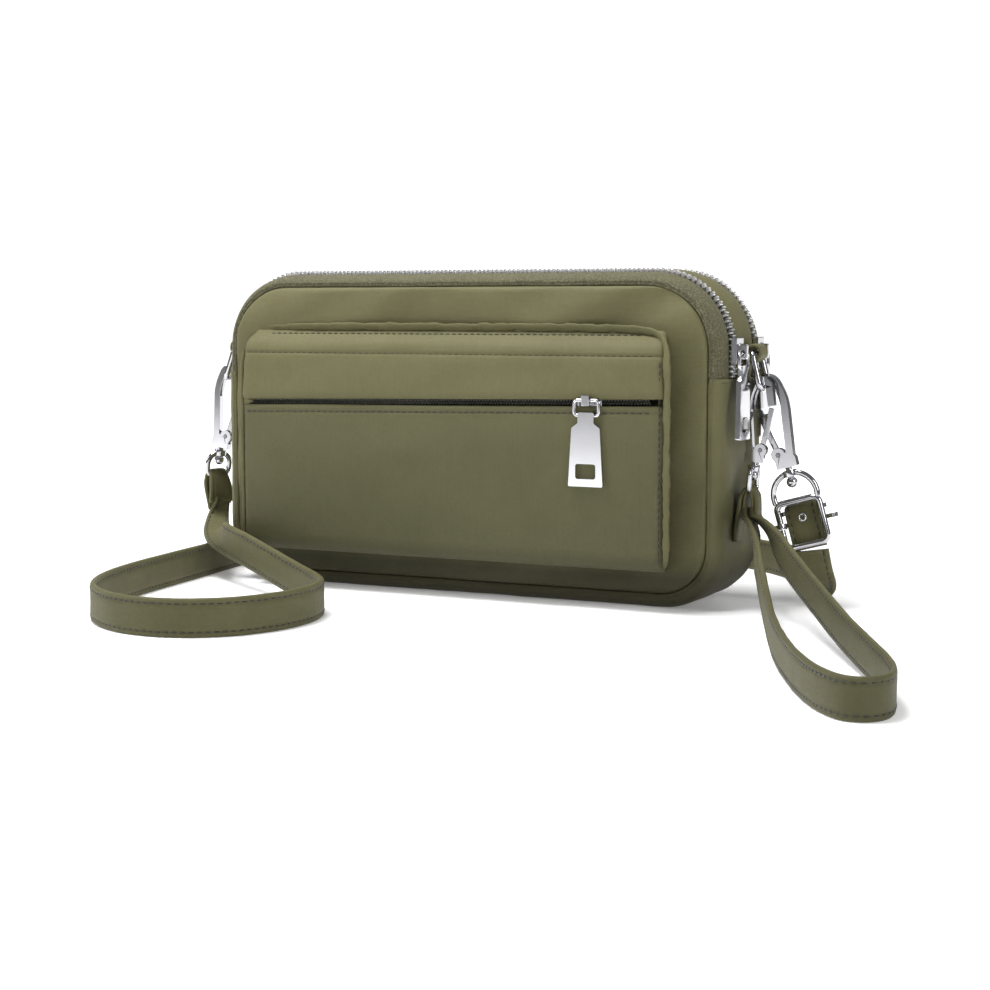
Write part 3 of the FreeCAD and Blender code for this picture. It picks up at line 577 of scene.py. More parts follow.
def body_shell():
    """The panels, the zips' tapes and teeth, and the gussets."""
    panel("front_panel_cloth", -1, "front_panel")
    panel("rear_panel_cloth", 1, "rear_panel")
    top = upper_track()
    for name, side in (("front", -1), ("rear", 1)):
        band(name + "_tape_outer", top, sided(TAPE_LINE, side), tape,
             [name + "_outer_tape"], give=0.25, seed=3.0 + side)
        # The tape under the teeth takes the dark tape: painted shade in the gaps between the teeth.
        band(name + "_tape_inner", top, sided(UNDER_LINE, side), dark_tape,
             [name + "_inner_tape"], give=0.0)
        zip_teeth(name + "_zip_teeth", side * CHAIN_Y, [name + "_teeth"])
    band("centre_gusset_cloth", top, MIDDLE_LINE, nylon, ["centre_gusset"], give=0.45, seed=8.0)
    gusset()


def gusset():
    """The strip round the sides and the bottom, which sinks in and folds along its middle."""
    low = lower_track()
    line = [(u, -y) for u, y in SHOULDER_LINE]
    line += [(5.6, y) for y in np.linspace(-17.0, 17.0, 13)]
    line += SHOULDER_LINE[::-1]
    closed = thick(line, CLOTH)
    grid = swept(low, closed)
    direction = outward(low)[:, None, :]
    y, z = grid[..., 1], grid[..., 2]
    mid = np.clip(1 - (np.abs(y) / 22.0) ** 2, 0, 1)
    height = np.clip((z - 12.0) / 18.0, 0, 1) * np.clip((86.0 - z) / 10.0, 0, 1)
    slack = mid * height * (1.3 + ripple(grid, 20.0, 2.4, 11.0))
    fold = mid * height * 1.5 * np.exp(-(((z - 50 - 0.5 * y) / 7.0) ** 2))
    grid = grid - direction * (slack + fold)[..., None]
    grid = grid + direction * ripple(grid, 9.0, 0.22, 4.0)[..., None]
    grid[..., 2] = np.maximum(grid[..., 2], FLOOR_GAP)
    s = run_length(low[0])
    lift = 0.35 * (np.exp(-(s / 1.6) ** 2) + np.exp(-((s[-1] - s) / 1.6) ** 2))
    grid = grid + direction * lift[:, None, None]
    form = Form()
    around = run_length(np.vstack([closed, closed[:1]]))
    form.lattice(grid, s, around, closed=True, ends=True, flip=True)
    form.build("gusset_cloth", nylon, "bag", ["side_bottom_gusset"])


def divider():
    """The cloth wall between the two compartments, sewn in just inside the gusset."""
    p, n = joined(upper_track(3.0), lower_track(3.0))
    p, n = p[:-1], n[:-1]
    edge = p - n * 0.4
    rows = []
    for y in (0.3, -0.3):
        shares = np.linspace(0.985, 0.0, 12) if y > 0 else np.linspace(0.0, 0.985, 12)
        for t in shares:
            q = edge * (1 - t) + np.array([0.0, MIDDLE_Z]) * t
            rows.append(np.stack([q[:, 0], np.full(len(q), y), q[:, 1]], 1))
    grid = np.array(rows)
    grid[..., 1] += ripple(grid * [1.0, 0.0, 1.0], 30.0, 0.5, 40.0)
    form = Form()
    along = np.arange(len(rows)) * 4.0
    around = np.arange(len(p) + 1) * 3.0
    form.lattice(grid, along, around, closed=True, ends=True)
    form.build("divider_cloth", lining, "bag", ["divider"])


# A tooth from foot to top: (stand-off, half its length along the tape, trim off its width)

TOOTH = [(4.2, 0.34, 0.0), (5.6, 0.38, 0.0), (6.1, 0.34, 0.12), (6.3, 0.20, 0.40)]


def zip_teeth(name, middle, stands_for):
    """Two rows of interlocked metal teeth, one mesh."""
    p, n = upper_track(0.5)
    s = run_length(p)
    form = Form()
    for i in range(2 * int((s[-1] - 1.0) / TEETH_PITCH)):
        at = 0.8 + i * TEETH_PITCH / 2
        if at > s[-1] - 0.6:
            break
        centre = part_way(at, s, p)
        normal = unit(part_way(at, s, n))
        t = np.array([-normal[1], 0, normal[0]])
        out = np.array([normal[0], 0, normal[1]])
        base = np.array([centre[0], middle, centre[1]])
        y0, y1 = (-0.35, 2.35) if i % 2 else (-2.35, 0.35)
        rings = []
        for u, half, trim in TOOTH:
            near, far = y0 + trim, y1 - trim
            square = ((-half, near), (half, near), (half, far), (-half, far))
            rings.append([base + t * a + np.array([0, b, 0]) + out * u for a, b in square])
        form.lattice(np.array(rings), [0, 1, 1.5, 2], [0, 1.2, 4, 5.2, 8],
                     closed=True, ends=True, flip=True)
    return form.build(name, teeth_metal, "bag", stands_for, smooth=False)


def seam_stitches():
    """A dark strip in the groove round each panel, which paints its shade, and the tape ends'
    stitches.
    """
    loop = joined(upper_track(1.5), lower_track(1.5))
    for name, side in (("front", -1), ("rear", 1)):
        # Painted shade: a dark strip at the bottom of the seam's groove.
        line = sided([(-1.0, 23.8), (-0.4, 23.9), (0.1, 23.9), (0.8, 23.6)], side)
        form = Form()
        form.lattice(swept(loop, line), run_length(loop[0]), run_length(line), flip=True)
        form.build(name + "_seam_painted_shade", dark_tape, "bag")
    rows = []
    for x in (SEAM_X, -SEAM_X):
        sign = math.copysign(1, x)
        for y0, y1 in ((-23.0, -15.0), (-9.0, 9.0), (15.0, 23.0)):
            y = np.linspace(y0, y1, 20)
            u = np.interp(np.abs(y), [19.2, 21.0, 22.6, 24.0], [5.75, 5.4, 4.7, 3.6])
            line = np.stack([x + sign * u, y, np.full(20, TAPE_END - 1.6)], 1)
            rows.append((line, (sign, 0, 0)))
    dashes("tape_end_thread", rows, thread, "bag", pitch=2.2, length=1.6, radius=0.18)


# Front pocket


def slot_z(x):
    return SLOT + SLOPE * np.asarray(x, float)


def pocket_side(base, edge, radius, y):
    """The wall and the rounded corner at one side. The radius is negative at the right."""
    size = abs(radius)
    depth = max(POCKET_BACK - y, 0.05)
    points = []
    for t in (0, 0.2, 0.4, 0.6, 0.8):
        points.append((base + (edge - base) * t, POCKET_BACK - (depth - size) * t))
    for a in (0, 30, 60):
        c, s = math.cos(math.radians(a)), math.sin(math.radians(a))
        points.append((edge + radius - radius * c, y + size - size * s))
    return points


def pocket_rows(rows, name, stands_for, top):
    """A pocket panel with both its side walls.

    A row is (Y, Z at the middle, share of the slot's slope).
    """
    grid = []
    for y, z, share in rows:
        depth = max(POCKET_BACK - y, 0.05)
        radius = min(2.6, depth * 0.45)
        front = depth / POCKET_DEEP
        left = BASE_L + (POCKET_L - BASE_L) * front
        right = BASE_R + (POCKET_R - BASE_R) * front
        middle = right - left - 2 * radius
        row = pocket_side(BASE_L, left, radius, y)
        row += [(left + radius + middle * t, y) for t in np.linspace(0, 1, 95)]
        row += pocket_side(BASE_R, right, -radius, y)[::-1]
        row = np.array(row)
        grid.append(np.stack([row[:, 0], row[:, 1], z + share * SLOPE * row[:, 0]], 1))
    grid = np.array(grid)
    x, y, z = grid[..., 0], grid[..., 1], grid[..., 2]
    face = np.clip((-y - 34.0) / 3.0, 0, 1)
    edge = np.clip(np.minimum(x - POCKET_L, POCKET_R - x) / 14.0, 0, 1)
    grid[..., 1] = y - face * edge * pocket_wave(grid)
    if not top:
        lip = np.clip((z - 73.0) / 3.0, 0, 1) * np.clip((-y - 34.0) / 2.0, 0, 1)
        grid[..., 2] = z + lip * 0.5 * np.clip((-10.0 - x) / 60.0, 0, 1)
    form = Form()
    across = run_length(grid[len(rows) // 2])
    along = run_length(grid[:, 50])
    form.lattice(grid, along, across)
    # The lower panel takes the darker nylon: painted shade.
    piece = form.build(name, nylon if top else shaded_nylon, "bag", stands_for)
    wall = piece.modifiers.new("cloth", "SOLIDIFY")
    wall.thickness = 0.0007
    wall.offset = 1.0
    return piece


def pocket():
    """The front pocket. Its two panels are given in rows from the bottom up."""
    # Round the lower edge, up the face, then over the lip into the slot
    lower = [
        (-25.7, 15.0, 0), (-27.5, 15.0, 0), (-30.0, 15.1, 0), (-33.0, 15.3, 0),
        (-35.4, 15.7, 0), (-36.8, 16.5, 0), (-37.5, 17.8, 0), (-37.8, 19.6, 0),
        (-37.9, 23.0, 0.05),
    ]
    lower += [(-37.9, z, 0.1 + 0.9 * (z - 26) / 48) for z in np.linspace(28, 72.5, 12)]
    lower += [
        (-37.9, 73.0, 1), (-37.6, 73.7, 1), (-37.6, 74.1, 1), (-37.9, 74.9, 1),
        (-37.9, 75.7, 1), (-37.5, 76.35, 1), (-36.8, 76.5, 1), (-36.2, 76.2, 1),
        (-35.7, 74.8, 1), (-35.5, 72.0, 1),
    ]
    pocket_rows(lower, "pocket_lower_cloth", ["pocket_lower_front", "pocket_gusset"], False)
    # Out of the slot round the upper lip, up the face, then over the top to the panel
    upper = [
        (-35.5, 84.0, 1), (-35.8, 81.0, 1), (-36.5, 79.35, 1), (-37.5, 79.0, 1),
        (-38.3, 79.25, 1), (-38.8, 80.2, 1),
    ]
    upper += [(-38.8 + 0.11 * (z - 82), z, 1 - (z - 80) / 16) for z in np.linspace(82, 95.2, 6)]
    upper += [
        (-37.0, 96.1, 0), (-36.6, 96.55, 0), (-36.9, 97.1, 0), (-36.8, 98.0, 0),
        (-36.3, 99.6, 0), (-35.2, 101.2, 0), (-33.6, 102.6, 0), (-31.6, 103.7, 0),
        (-30.0, 104.4, 0), (-28.9, 105.2, 0), (-27.4, 106.0, 0), (-25.7, 106.3, 0),
    ]
    pocket_rows(upper, "pocket_upper_cloth", ["pocket_upper_front", "pocket_top"], True)
    zip_inside()
    ridge()
    count = 120
    x = np.linspace(POCKET_L + 2, POCKET_R - 3.5, count)
    z = slot_z(x) - 4.1
    line = np.stack([x, pocket_face(x, z) - 0.05, z], 1)
    dashes("slot_thread", [(line, (0, -1, 0))], dark_thread, "bag",
           pitch=2.8, length=2.0, radius=0.26)
    crease = pocket_face(x, np.full(count, 96.5), -36.6)
    line = np.stack([x, crease, np.full(count, 96.6)], 1)
    dashes("crease_thread", [(line, (0, -0.8, 0.6))], thread, "bag",
           pitch=2.9, length=2.0, radius=0.26)


def pocket_wave(points):
    """How far the pocket's face stands out beyond its plain shape: puffs and soft folds."""
    z = points[..., 2]
    flat = points * [1.0, 0.0, 1.0]
    wave = ripple(flat, 34.0, 0.9, 21.0) + ripple(flat, 13.0, 0.3, 23.0)
    wave = wave + ripple(slanted(points, 8.0, 3.5), 11.0, 0.6, 25.0)
    puff = 0.9 * np.clip((z - 16) / 20.0, 0, 1) * np.clip((SLOT - z) / 16.0, 0.15, 1)
    return wave + np.where(z < SLOT, puff, 0)


def pocket_face(x, z, plain=-37.65):
    """Where the pocket's face stands, in Y, at a place on it."""
    points = np.stack([x, np.zeros(len(x)), z], 1)
    edge = np.clip(np.minimum(x - POCKET_L, POCKET_R - x) / 14.0, 0, 1)
    return plain - edge * pocket_wave(points)


def zip_inside():
    """The pocket's zip, seen dark in its slot: two tapes in painted shade, and a coil."""
    x = np.linspace(-90.5, 87.5, 120)
    form = Form()
    for low, high in ((1.5, 7.5), (-7.5, -1.5)):
        heights = np.linspace(low, high, 4)
        grid = [np.stack([x, np.full(len(x), -34.9), slot_z(x) + h], 1) for h in heights]
        form.lattice(np.array(grid), heights, x)
    # The tapes take the dark tape: painted shade in the slot.
    form.build("pocket_zip_tape_cloth", dark_tape, "bag", ["pocket_zip_tapes"])
    form = Form()
    turns = np.linspace(0, 2 * math.pi, 9)[:-1]
    for i in range(int(177 / COIL_PITCH)):
        at = -90 + i * COIL_PITCH
        side = 1 if i % 2 else -1
        centre = np.array([at, -35.15, slot_z(at) + side * 0.65])
        rings = []
        for lift, size in ((-0.30, 0.5), (-0.22, 0.95), (0.22, 0.95), (0.30, 0.5)):
            ring = [(lift, -0.55 * size * math.cos(a), 1.15 * size * math.sin(a)) for a in turns]
            rings.append(centre + np.array(ring))
        form.lattice(rings, [0, 1, 2, 3], np.linspace(0, 5, 9), closed=True, ends=True)
    form.build("pocket_coil", coil_metal, "bag", ["pocket_teeth"])


def tube(name, path, across, half_a, half_b, stands_for):
    """A soft nylon ridge with an oval section: half_a across and half_b square to it."""
    sides = 14
    s = run_length(path)
    t = unit(np.gradient(path, axis=0))
    across = np.broadcast_to(across, path.shape)
    a = unit(across - t * np.sum(across * t, 1, keepdims=True))
    b = np.cross(t, a)
    turns = np.linspace(0, 2 * math.pi, sides + 1)[:-1]
    grow = np.clip(np.minimum(s, s[-1] - s) / 4.0 + 0.15, 0, 1)[:, None, None]
    ring = (np.cos(turns)[None, :, None] * a[:, None, :] * half_a
            + np.sin(turns)[None, :, None] * b[:, None, :] * half_b)
    grid = path[:, None, :] + ring * grow
    uneven = ripple(grid, 4.0, 0.45, 31.0) + 0.10 * np.sin(s * 2.33)[:, None]
    grid = grid + ring * uneven[..., None]
    form = Form()
    around = np.linspace(0, 2 * math.pi * max(half_a, half_b), sides + 1)
    form.lattice(grid, s, around, closed=True, ends=True)
    return form.build(name, nylon, "bag", stands_for)


def ridge():
    """The pinched seam: up the pocket's right edge and along its top, and up its left edge."""
    path = softened([
        (92.4, -36.6, 16.6), (93.4, -37.3, 18.0), (93.6, -37.7, 22.0), (93.7, -37.8, 60.0),
        (93.6, -37.7, 92.0), (93.2, -37.0, 97.5), (91.8, -34.8, 101.6), (88.8, -32.2, 104.4),
        (83.0, -30.4, 105.9), (72.0, -29.3, 106.7), (50.0, -28.8, 107.0), (0.0, -28.6, 107.1),
        (-50.0, -28.6, 107.0), (-74.0, -28.4, 106.8), (-84.0, -27.6, 106.2),
        (-90.0, -26.4, 105.0),
    ], 1.5, 4)
    share = np.clip((path[:, 2] - 96.0) / 8.0, 0, 1)[:, None]
    share = np.where(path[:, :1] < 80, 1.0, share)
    across = np.array([[0.90, -0.43, 0.0]]) * (1 - share) + np.array([[0.0, -0.45, 0.9]]) * share
    tube("pocket_pinched_seam", path, across, 1.75, 0.72, ["pocket_right_seam"])
    left = softened([
        (-93.6, -36.0, 18.0), (-94.2, -36.9, 24.0), (-94.3, -37.2, 60.0), (-94.2, -37.0, 94.0),
        (-93.4, -35.5, 99.0),
    ], 1.5, 4)
    tube("pocket_left_pinch", left, (-0.8, -0.6, 0.0), 0.8, 0.6, ["pocket_left_seam"])
    z = np.linspace(19.0, 96.0, 60)
    inner = np.stack([np.full(60, 90.7), np.full(60, -37.85), z], 1)
    x = np.linspace(-84, 82, 120)
    over = np.stack([x, np.full(120, -30.5), np.full(120, 104.35)], 1)
    dashes("pinch_thread", [(inner, (0, -1, 0)), (over, (0, -0.8, 0.6))], dark_thread, "bag",
           pitch=2.7, length=1.9, radius=0.3)


# Straps


def route(points):
    """Points along the smooth spline whose control points are given, in millimetres."""
    curve = bpy.data.curves.new("route", "CURVE")
    curve.dimensions = "3D"
    curve.resolution_u = 9
    spline = curve.splines.new("NURBS")
    spline.points.add(len(points) - 1)
    for point, co in zip(spline.points, points):
        point.co = (co[0] * MM, co[1] * MM, co[2] * MM, 1)
    spline.order_u = 3
    spline.use_endpoint_u = True
    holder = bpy.data.objects.new("route", curve)
    mesh = bpy.data.meshes.new_from_object(holder)
    found = np.array([v.co for v in mesh.vertices]) / MM
    bpy.data.meshes.remove(mesh)
    bpy.data.objects.remove(holder)
    bpy.data.curves.remove(curve)
    return found


# One face of a strap's section, from edge to edge: shares of its half width and half thickness

EDGE = [
    (-1.0, 0.0), (-0.985, 0.5), (-0.93, 0.85), (-0.86, 0.98), (-0.77, 0.98), (-0.72, 0.80),
    (-0.67, 0.97), (-0.45, 1.03), (-0.2, 1.0), (0.0, 0.98), (0.2, 1.0), (0.45, 1.03),
    (0.67, 0.97), (0.72, 0.80), (0.77, 0.98), (0.86, 0.98), (0.93, 0.85), (0.985, 0.5),
]
SECTION = np.array(EDGE + [(1.0, 0.0)] + [(-a, -b) for a, b in EDGE[1:]])


def frames(path, wide):
    """The directions across a strap and square to its face, at each point of its path."""
    t = unit(np.gradient(path, axis=0))
    w = unit(wide - t * np.sum(wide * t, 1, keepdims=True))
    return w, np.cross(t, w)


def strap(name, path, wide, width, thickness, body, stands_for, sewn=True, seed=0.0, taper=None):
    """A flat strap of two folded layers, and the row of stitches near each of its edges."""
    w, n = frames(path, wide)
    s = run_length(path)
    half = np.full(len(path), width / 2) if taper is None else np.interp(s, *taper) / 2
    swell = 1 + np.array([0.07 * noise.noise(Vector((a / 3.0, seed, 0))) for a in s])
    a = SECTION[:, 0][None, :, None] * half[:, None, None] * w[:, None, :]
    b = SECTION[:, 1][None, :, None] * (thickness / 2) * swell[:, None, None] * n[:, None, :]
    grid = path[:, None, :] + a + b
    grid = grid + n[:, None, :] * ripple(grid, 9.0, 0.18, seed)[..., None]
    grid[..., 2] = np.maximum(grid[..., 2], STRAP_GAP)
    around = run_length(np.vstack([SECTION, SECTION[:1]]) * np.array([width / 2, thickness / 2]))
    form = Form()
    form.lattice(grid, s, around, closed=True, ends=True)
    piece = form.build(name, webbing, body, stands_for)
    sewing = None
    if sewn:
        rows = []
        for side in (-STITCH_ROW, STITCH_ROW):
            for face in (1, -1):
                line = path + w * side * half[:, None] + n * face * (thickness / 2) * 0.90
                rows.append((line, n * face))
        sewing = dashes(name + "_thread", rows, dark_thread, body,
                        pitch=3.0, length=2.0, radius=0.36)
    return piece, sewing


# The straps' centre lines. The shoulder strap's two parts meet in its keeper.

LEFT_ROUTE = [
    (-129.7, -0.8, 31.0), (-130.0, -2.2, 25.0), (-127.2, -8.5, 21.0), (-121.0, -18.5, 19.4),
    (-111.6, -30.0, 18.6), (-98.2, -42.0, 17.9), (-82.5, -52.0, 16.0), (-66.0, -61.5, 12.8),
    (-49.0, -70.5, 9.2), (-36.0, -78.5, 7.3), (-27.5, -86.5, 7.0), (-20.5, -96.0, 7.0),
    (-16.0, -112.0, 7.0), (-17.0, -131.0, 7.0), (-26.0, -150.0, 7.0), (-43.0, -161.0, 7.0),
    (-64.0, -161.0, 7.0), (-84.0, -150.0, 7.0), (-99.0, -132.0, 7.0), (-109.0, -107.0, 7.0),
    (-115.0, -77.0, 7.0), (-119.0, -46.0, 7.0), (-123.0, -16.0, 7.0), (-128.0, 13.0, 7.0),
    (-130.0, 38.0, 7.0), (-122.0, 60.0, 7.0), (-102.0, 73.0, 7.0), (-75.0, 77.0, 7.0),
    (-47.0, 71.0, 7.0), (-20.0, 58.0, 7.0), (7.0, 52.0, 7.0), (34.0, 52.0, 7.0),
]
RIGHT_ROUTE = [
    (136.95, 4.45, 22.0), (138.2, 5.0, 14.0), (137.8, 13.0, 7.8), (132.6, 31.0, 7.0),
    (121.0, 52.0, 7.0), (107.0, 76.0, 7.0), (88.0, 95.0, 7.0), (64.0, 110.0, 7.0),
    (36.0, 120.0, 7.0), (6.0, 126.0, 7.0), (-20.0, 124.0, 7.0), (-37.0, 113.0, 7.0),
    (-37.0, 96.0, 7.0), (-20.0, 87.0, 7.0), (6.0, 86.0, 7.0), (32.0, 91.0, 7.0),
    (56.0, 92.0, 7.0), (74.0, 85.0, 7.0), (80.0, 68.0, 7.0), (71.0, 55.0, 7.0),
    (54.0, 52.0, 7.0), (34.0, 52.0, 7.0),
]
WRIST_ROUTE = [
    (113.5, -1.95, 37.6), (114.6, -3.2, 34.0), (120.8, -16.0, 29.0), (132.0, -43.0, 19.6),
    (148.0, -83.0, 11.6), (159.5, -111.0, 7.8), (169.5, -133.0, 6.8), (180.5, -156.0, 6.6),
    (192.5, -177.0, 6.6), (205.5, -191.5, 6.6), (216.5, -184.0, 6.6), (212.5, -163.0, 6.6),
    (198.0, -135.0, 7.9), (180.0, -102.0, 10.0), (161.0, -71.0, 16.3), (142.0, -40.0, 22.8),
    (125.0, -13.5, 31.4), (117.6, -3.0, 34.2), (116.3, -1.95, 37.6),
]
UP = np.array([0.0, 0.0, 1.0])


def eased(path, first, start, end):
    """The strap's width direction: the first one up to start, upright from end on."""
    s = run_length(path)
    share = np.clip((s - start) / (end - start), 0, 1)[:, None]
    share = share * share * (3 - 2 * share)
    return np.atleast_2d(first) * (1 - share) + UP * share


def straps():
    """The shoulder strap's two parts with their keeper, and the wrist strap."""
    left = route(LEFT_ROUTE)
    # Under its ring the left strap turns its front edge to the floor
    turned = np.clip(run_length(left) / 26.0, 0, 1)[:, None]
    hanging = np.array([0.07, 1.0, 0.0]) * (1 - turned) + np.array([0.60, 0.80, 0.0]) * turned
    piece, sewing = strap("shoulder_strap_left", left, eased(left, hanging, 14.0, 58.0),
                          STRAP_WIDE, STRAP_THICK, None, ["strap_left_drop", "strap_front_loop"],
                          seed=1.0, taper=([0.0, 54.0], [9.0, STRAP_WIDE]))
    for o in (piece, sewing):
        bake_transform(o)
    right = route(RIGHT_ROUTE)
    wide = eased(right, (-0.964, 0, -0.267), 6.0, 42.0)
    other, other_sewing = strap("shoulder_strap_right", right, wide, STRAP_WIDE, STRAP_THICK, None,
                                ["strap_right_drop", "strap_rear_run"], seed=2.0)
    for o in (other, other_sewing):
        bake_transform(o)
    meeting = np.stack([np.linspace(30, 38, 12), np.full(12, 52.0), np.full(12, 7.0)], 1)
    keeper, _ = strap("strap_keeper_cloth", meeting, UP, 15.6, 4.6, "bag", ["strap_keeper"],
                      sewn=False)
    wrist = route(WRIST_ROUTE)
    s = run_length(wrist)
    end = np.minimum(s, s[-1] - s)
    share = np.clip((end - 5.0) / 34.0, 0, 1)[:, None]
    wide = np.array([[0.1, -1.0, 0.0]]) * (1 - share) + UP[None, :] * share
    taper = ([0, 18, s[-1] - 18, s[-1]], [9.0, WRIST_WIDE, WRIST_WIDE, 9.0])
    loop, loop_sewing = strap("wrist_strap_loop", wrist, wide, WRIST_WIDE, WRIST_THICK,
                              "wrist_ring", ["wrist_strap"], seed=3.0, taper=taper)
    # The wrist strap takes the darker webbing: painted shade.
    loop.data.materials[0] = shaded_wrist_webbing
    folds()


def folds():
    """Where each strap is folded over its ring and sewn, with its short tail."""
    path = softened([
        (-133.2, 2.6, 27.0), (-134.4, 2.0, 32.0), (-135.6, 1.0, 38.5), (-134.9, 0.4, 43.0),
        (-132.6, -0.2, 43.6), (-131.0, -0.8, 40.0), (-130.0, -1.2, 35.0), (-129.6, -1.4, 29.5),
    ], 0.7, 5)
    s = run_length(path)
    taper = ([0, 0.3 * s[-1], 0.5 * s[-1], 0.75 * s[-1], s[-1]], [13.0, 11.0, 8.0, 11.5, 13.6])
    strap("left_fold_cloth", path, (-0.30, -0.95, 0.0), 13.0, 1.9, "left_clip",
          ["strap_loop_end"], seed=5.0, taper=taper, sewn=False)
    path = softened([
        (110.0, -3.5, 25.0), (110.2, -3.0, 30.0), (111.0, -2.3, 37.0), (111.4, -2.0, 43.0),
        (114.2, -2.0, 46.6), (117.4, -2.0, 43.0), (117.6, -2.3, 38.0), (117.8, -3.2, 33.6),
    ], 0.7, 5)
    s = run_length(path)
    taper = ([0, 0.3 * s[-1], 0.55 * s[-1], 0.8 * s[-1], s[-1]], [11.5, 11.0, 8.6, 8.6, 10.0])
    inner = softened([
        (113.0, -2.2, 33.5), (112.9, -2.0, 39.0), (113.4, -2.0, 43.4), (114.7, -2.0, 45.0),
        (115.9, -2.0, 43.2), (116.2, -2.1, 39.0), (116.0, -2.6, 33.2),
    ], 0.6, 4)
    strap("wrist_pleat_cloth", inner, (0.1, -1.0, 0.0), 9.4, 1.2, "wrist_ring", [],
          seed=6.5, sewn=False)
    strap("wrist_fold_cloth", path, (0.1, -1.0, 0.0), 11.0, 1.7, "wrist_ring", ["wrist_fold"],
          seed=6.0, taper=taper, sewn=False)
    buckle_end()


def on_buckle(points):
    """Places given on the upright clip, below the point where it hangs."""
    p = np.asarray(points, float)
    c, d = math.cos(math.radians(CLIP_LEAN)), math.sin(math.radians(CLIP_LEAN))
    turned = [p[:, 0] * c + p[:, 2] * d, p[:, 1], -p[:, 0] * d + p[:, 2] * c]
    return np.stack(turned, 1) + np.array(CLIP_HANG)


def buckle_end():
    """The strap's end folded round the buckle's bar, with the eyelet that its prong is in."""
    path = on_buckle(softened([
        (1.0, 2.5, -63.6), (1.0, 2.5, -55.0), (1.0, 2.6, -47.4), (1.0, 4.4, -46.2),
        (1.0, 6.3, -47.4), (1.0, 6.5, -53.0), (1.0, 6.4, -59.5),
    ], 0.6, 4))
    lean = math.radians(CLIP_LEAN)
    wide = (math.cos(lean), 0, -math.sin(lean))
    strap("buckle_end_cloth", path, wide, 13.6, 1.7, "right_clip", ["strap_buckle_end"], seed=7.0)
    turns = np.linspace(0, 2 * math.pi, 25)[:-1]
    rings = []
    for radius, y in ((0.9, 1.7), (0.95, 1.25), (1.25, 1.05), (1.65, 1.2), (1.8, 1.6)):
        x, z = 1.0 + radius * np.cos(turns), -51.2 + radius * np.sin(turns)
        rings.append(on_buckle(np.stack([x, np.full(24, y), z], 1)))
    form = Form()
    form.lattice(rings, [0, 1, 2, 3, 4], np.linspace(0, 8, 25), closed=True)
    form.build("strap_eyelet", nickel, "right_clip")


def tabs():
    """The folded strips that hold the D-rings, rounded at the end."""
    for name, side, bar in (("right_tab", 1, RIGHT_BAR), ("left_tab", -1, LEFT_BAR)):
        path = [
            (110.2, 0, 86.0), (111.4, 0, 88.5), (112.1, 0, 92.0), (bar - 2.6, 0, 94.6),
            (bar + 0.2, 0, 94.2), (bar + 3.0, 0, BAR_Z - 1.0), (bar + 2.6, 0, BAR_Z + 2.2),
            (bar, 0, BAR_Z + 3.1), (bar - 2.6, 0, BAR_Z + 2.0), (112.0, 0, BAR_Z + 1.0),
            (110.4, 0, BAR_Z + 2.5),
        ]
        path = softened([(side * x, y, h) for x, y, h in path], 0.6, 4)
        strap(name + "_cloth", path, (0.0, -1.0, 0.0), 8.4, 1.3, "bag", [name],
              seed=9.0 + side, sewn=False)


# Metal pieces and linings keep their CAD shape


def finish_cad():
    """Gives the CAD pieces that still show their material, and the metal ones eased edges."""
    soft = {"front_lining", "rear_lining", "pocket_lining"}
    for name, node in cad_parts.items():
        if node.hide_render:
            continue
        node.data.materials.clear()
        plating = nickel
        if name.endswith(("hook", "gate", "ring", "stud", "buckle")):
            plating = hook_nickel
        elif name.endswith("gate_pin"):
            plating = aged_nickel
        node.data.materials.append(lining if name in soft else plating)
        if name not in soft:
            weld = node.modifiers.new("weld", "WELD")
            weld.merge_threshold = 0.00001
            edge = node.modifiers.new("edge", "BEVEL")
            edge.width = 0.00042
            edge.segments = 2
            edge.limit_method = "ANGLE"
            edge.angle_limit = math.radians(35)
            edge.use_clamp_overlap = True
            edge.harden_normals = False


# Floor and light


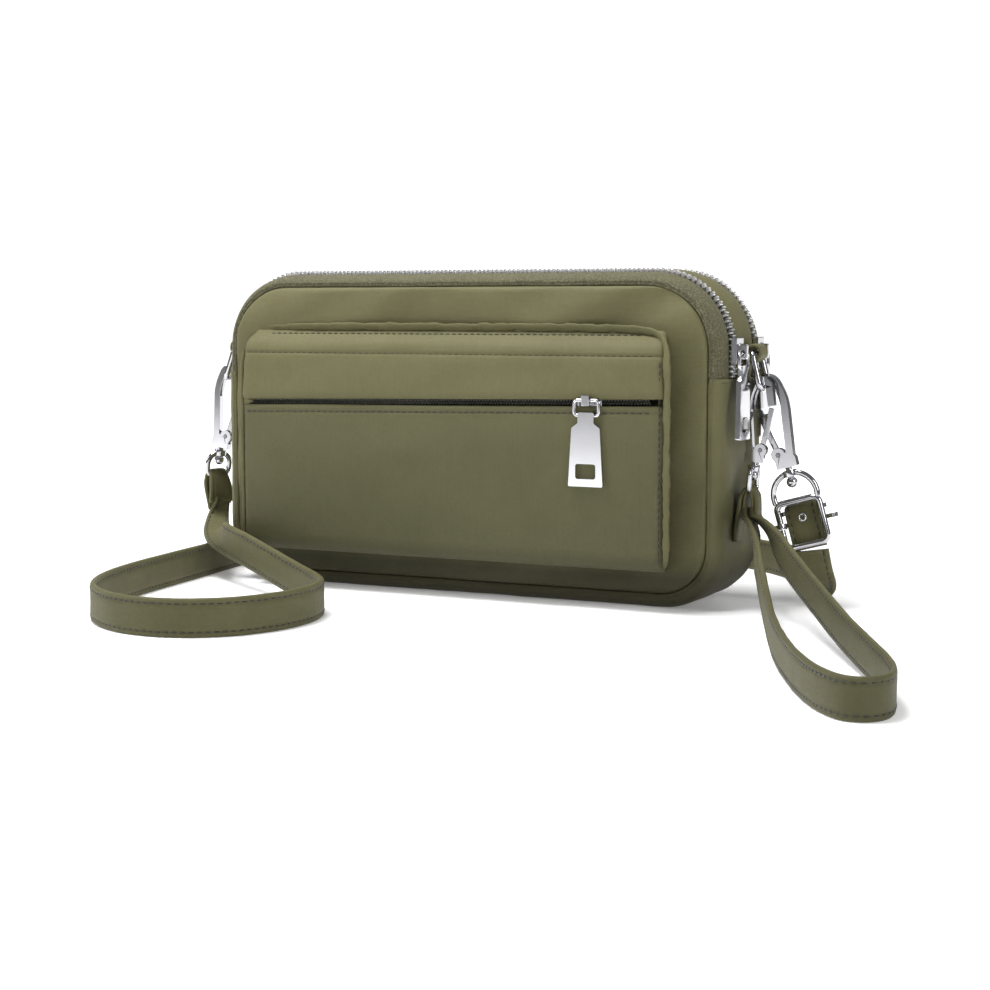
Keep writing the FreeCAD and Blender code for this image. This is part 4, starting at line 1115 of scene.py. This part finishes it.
def surroundings():
    """A pale floor, a white room and three soft lights."""
    mesh = bpy.data.meshes.new("floor")
    size = 40.0  # metres from the middle to each side
    corners = [(-size, -size, 0), (size, -size, 0), (size, size, 0), (-size, size, 0)]
    mesh.from_pydata(corners, [], [(0, 1, 2, 3)])
    floor = bpy.data.objects.new("floor", mesh)
    bpy.context.scene.collection.objects.link(floor)
    n = Nodes("floor")
    where = n.add("ShaderNodeTexCoord").outputs["Object"]
    # Away from the bag the floor glows a little, so that it runs into the white room
    away = n.add("ShaderNodeVectorMath", {0: where}, operation="LENGTH").outputs["Value"]
    near = {"Value": away, 1: 0.22, 2: 0.6, 3: 0.18, 4: 0.95}
    near = n.add("ShaderNodeMapRange", near).outputs[0]
    beyond = n.add("ShaderNodeVectorMath", {0: where, 1: AWAY}, operation="DOT_PRODUCT")
    side = {"Value": beyond.outputs["Value"], 1: -0.5, 2: -0.3, 3: 0.0, 4: 1.0}
    side = n.add("ShaderNodeMapRange", side).outputs[0]
    glow = n.math("MULTIPLY", near, side)
    n.set(Base_Color=(0.92, 0.92, 0.93, 1), Roughness=0.85, Specular_IOR_Level=0.2)
    n.set(Emission_Color=(1.0, 1.0, 1.0, 1), Emission_Strength=glow)
    mesh.materials.append(n.material)
    world = bpy.data.worlds.new("world")
    bpy.context.scene.world = world
    world.use_nodes = True
    tree = world.node_tree
    direction = tree.nodes.new("ShaderNodeTexCoord")
    facing = tree.nodes.new("ShaderNodeVectorMath")
    facing.operation = "DOT_PRODUCT"
    facing.inputs[1].default_value = AWAY
    level = tree.nodes.new("ShaderNodeMapRange")
    for index, value in ((1, 0.80), (2, 0.92), (3, 0.17), (4, 1.06)):
        level.inputs[index].default_value = value
    tree.links.new(direction.outputs["Generated"], facing.inputs[0])
    tree.links.new(facing.outputs["Value"], level.inputs[0])
    # Seen straight, the room is white all round. Only its reflections have a dark side.
    path = tree.nodes.new("ShaderNodeLightPath")
    strength = tree.nodes.new("ShaderNodeMath")
    strength.operation = "MAXIMUM"
    tree.links.new(level.outputs[0], strength.inputs[0])
    tree.links.new(path.outputs["Is Camera Ray"], strength.inputs[1])
    tree.links.new(strength.outputs[0], tree.nodes["Background"].inputs["Strength"])
    tree.nodes["Background"].inputs["Color"].default_value = (1.0, 1.0, 1.0, 1)

    def area(name, place, aim, size_x, size_y, power):
        light = bpy.data.lights.new(name, "AREA")
        light.shape = "RECTANGLE"
        light.size = size_x
        light.size_y = size_y
        light.energy = power
        lamp = bpy.data.objects.new(name, light)
        bpy.context.scene.collection.objects.link(lamp)
        lamp.location = place
        lamp.rotation_euler = (Vector(aim) - Vector(place)).to_track_quat("-Z", "Y").to_euler()

    area("top", (-0.25, -0.2, 1.2), (0, 0, 0.05), 0.6, 0.5, 20)
    area("left", (-1.1, -0.7, 0.7), (0, 0, 0.08), 0.3, 0.8, 4.9)
    area("right", (1.1, -0.5, 0.6), (0.1, 0, 0.06), 0.3, 0.7, 5.0)


body_shell()
divider()
seam_stitches()
pocket()
straps()
tabs()
finish_cad()
surroundings()
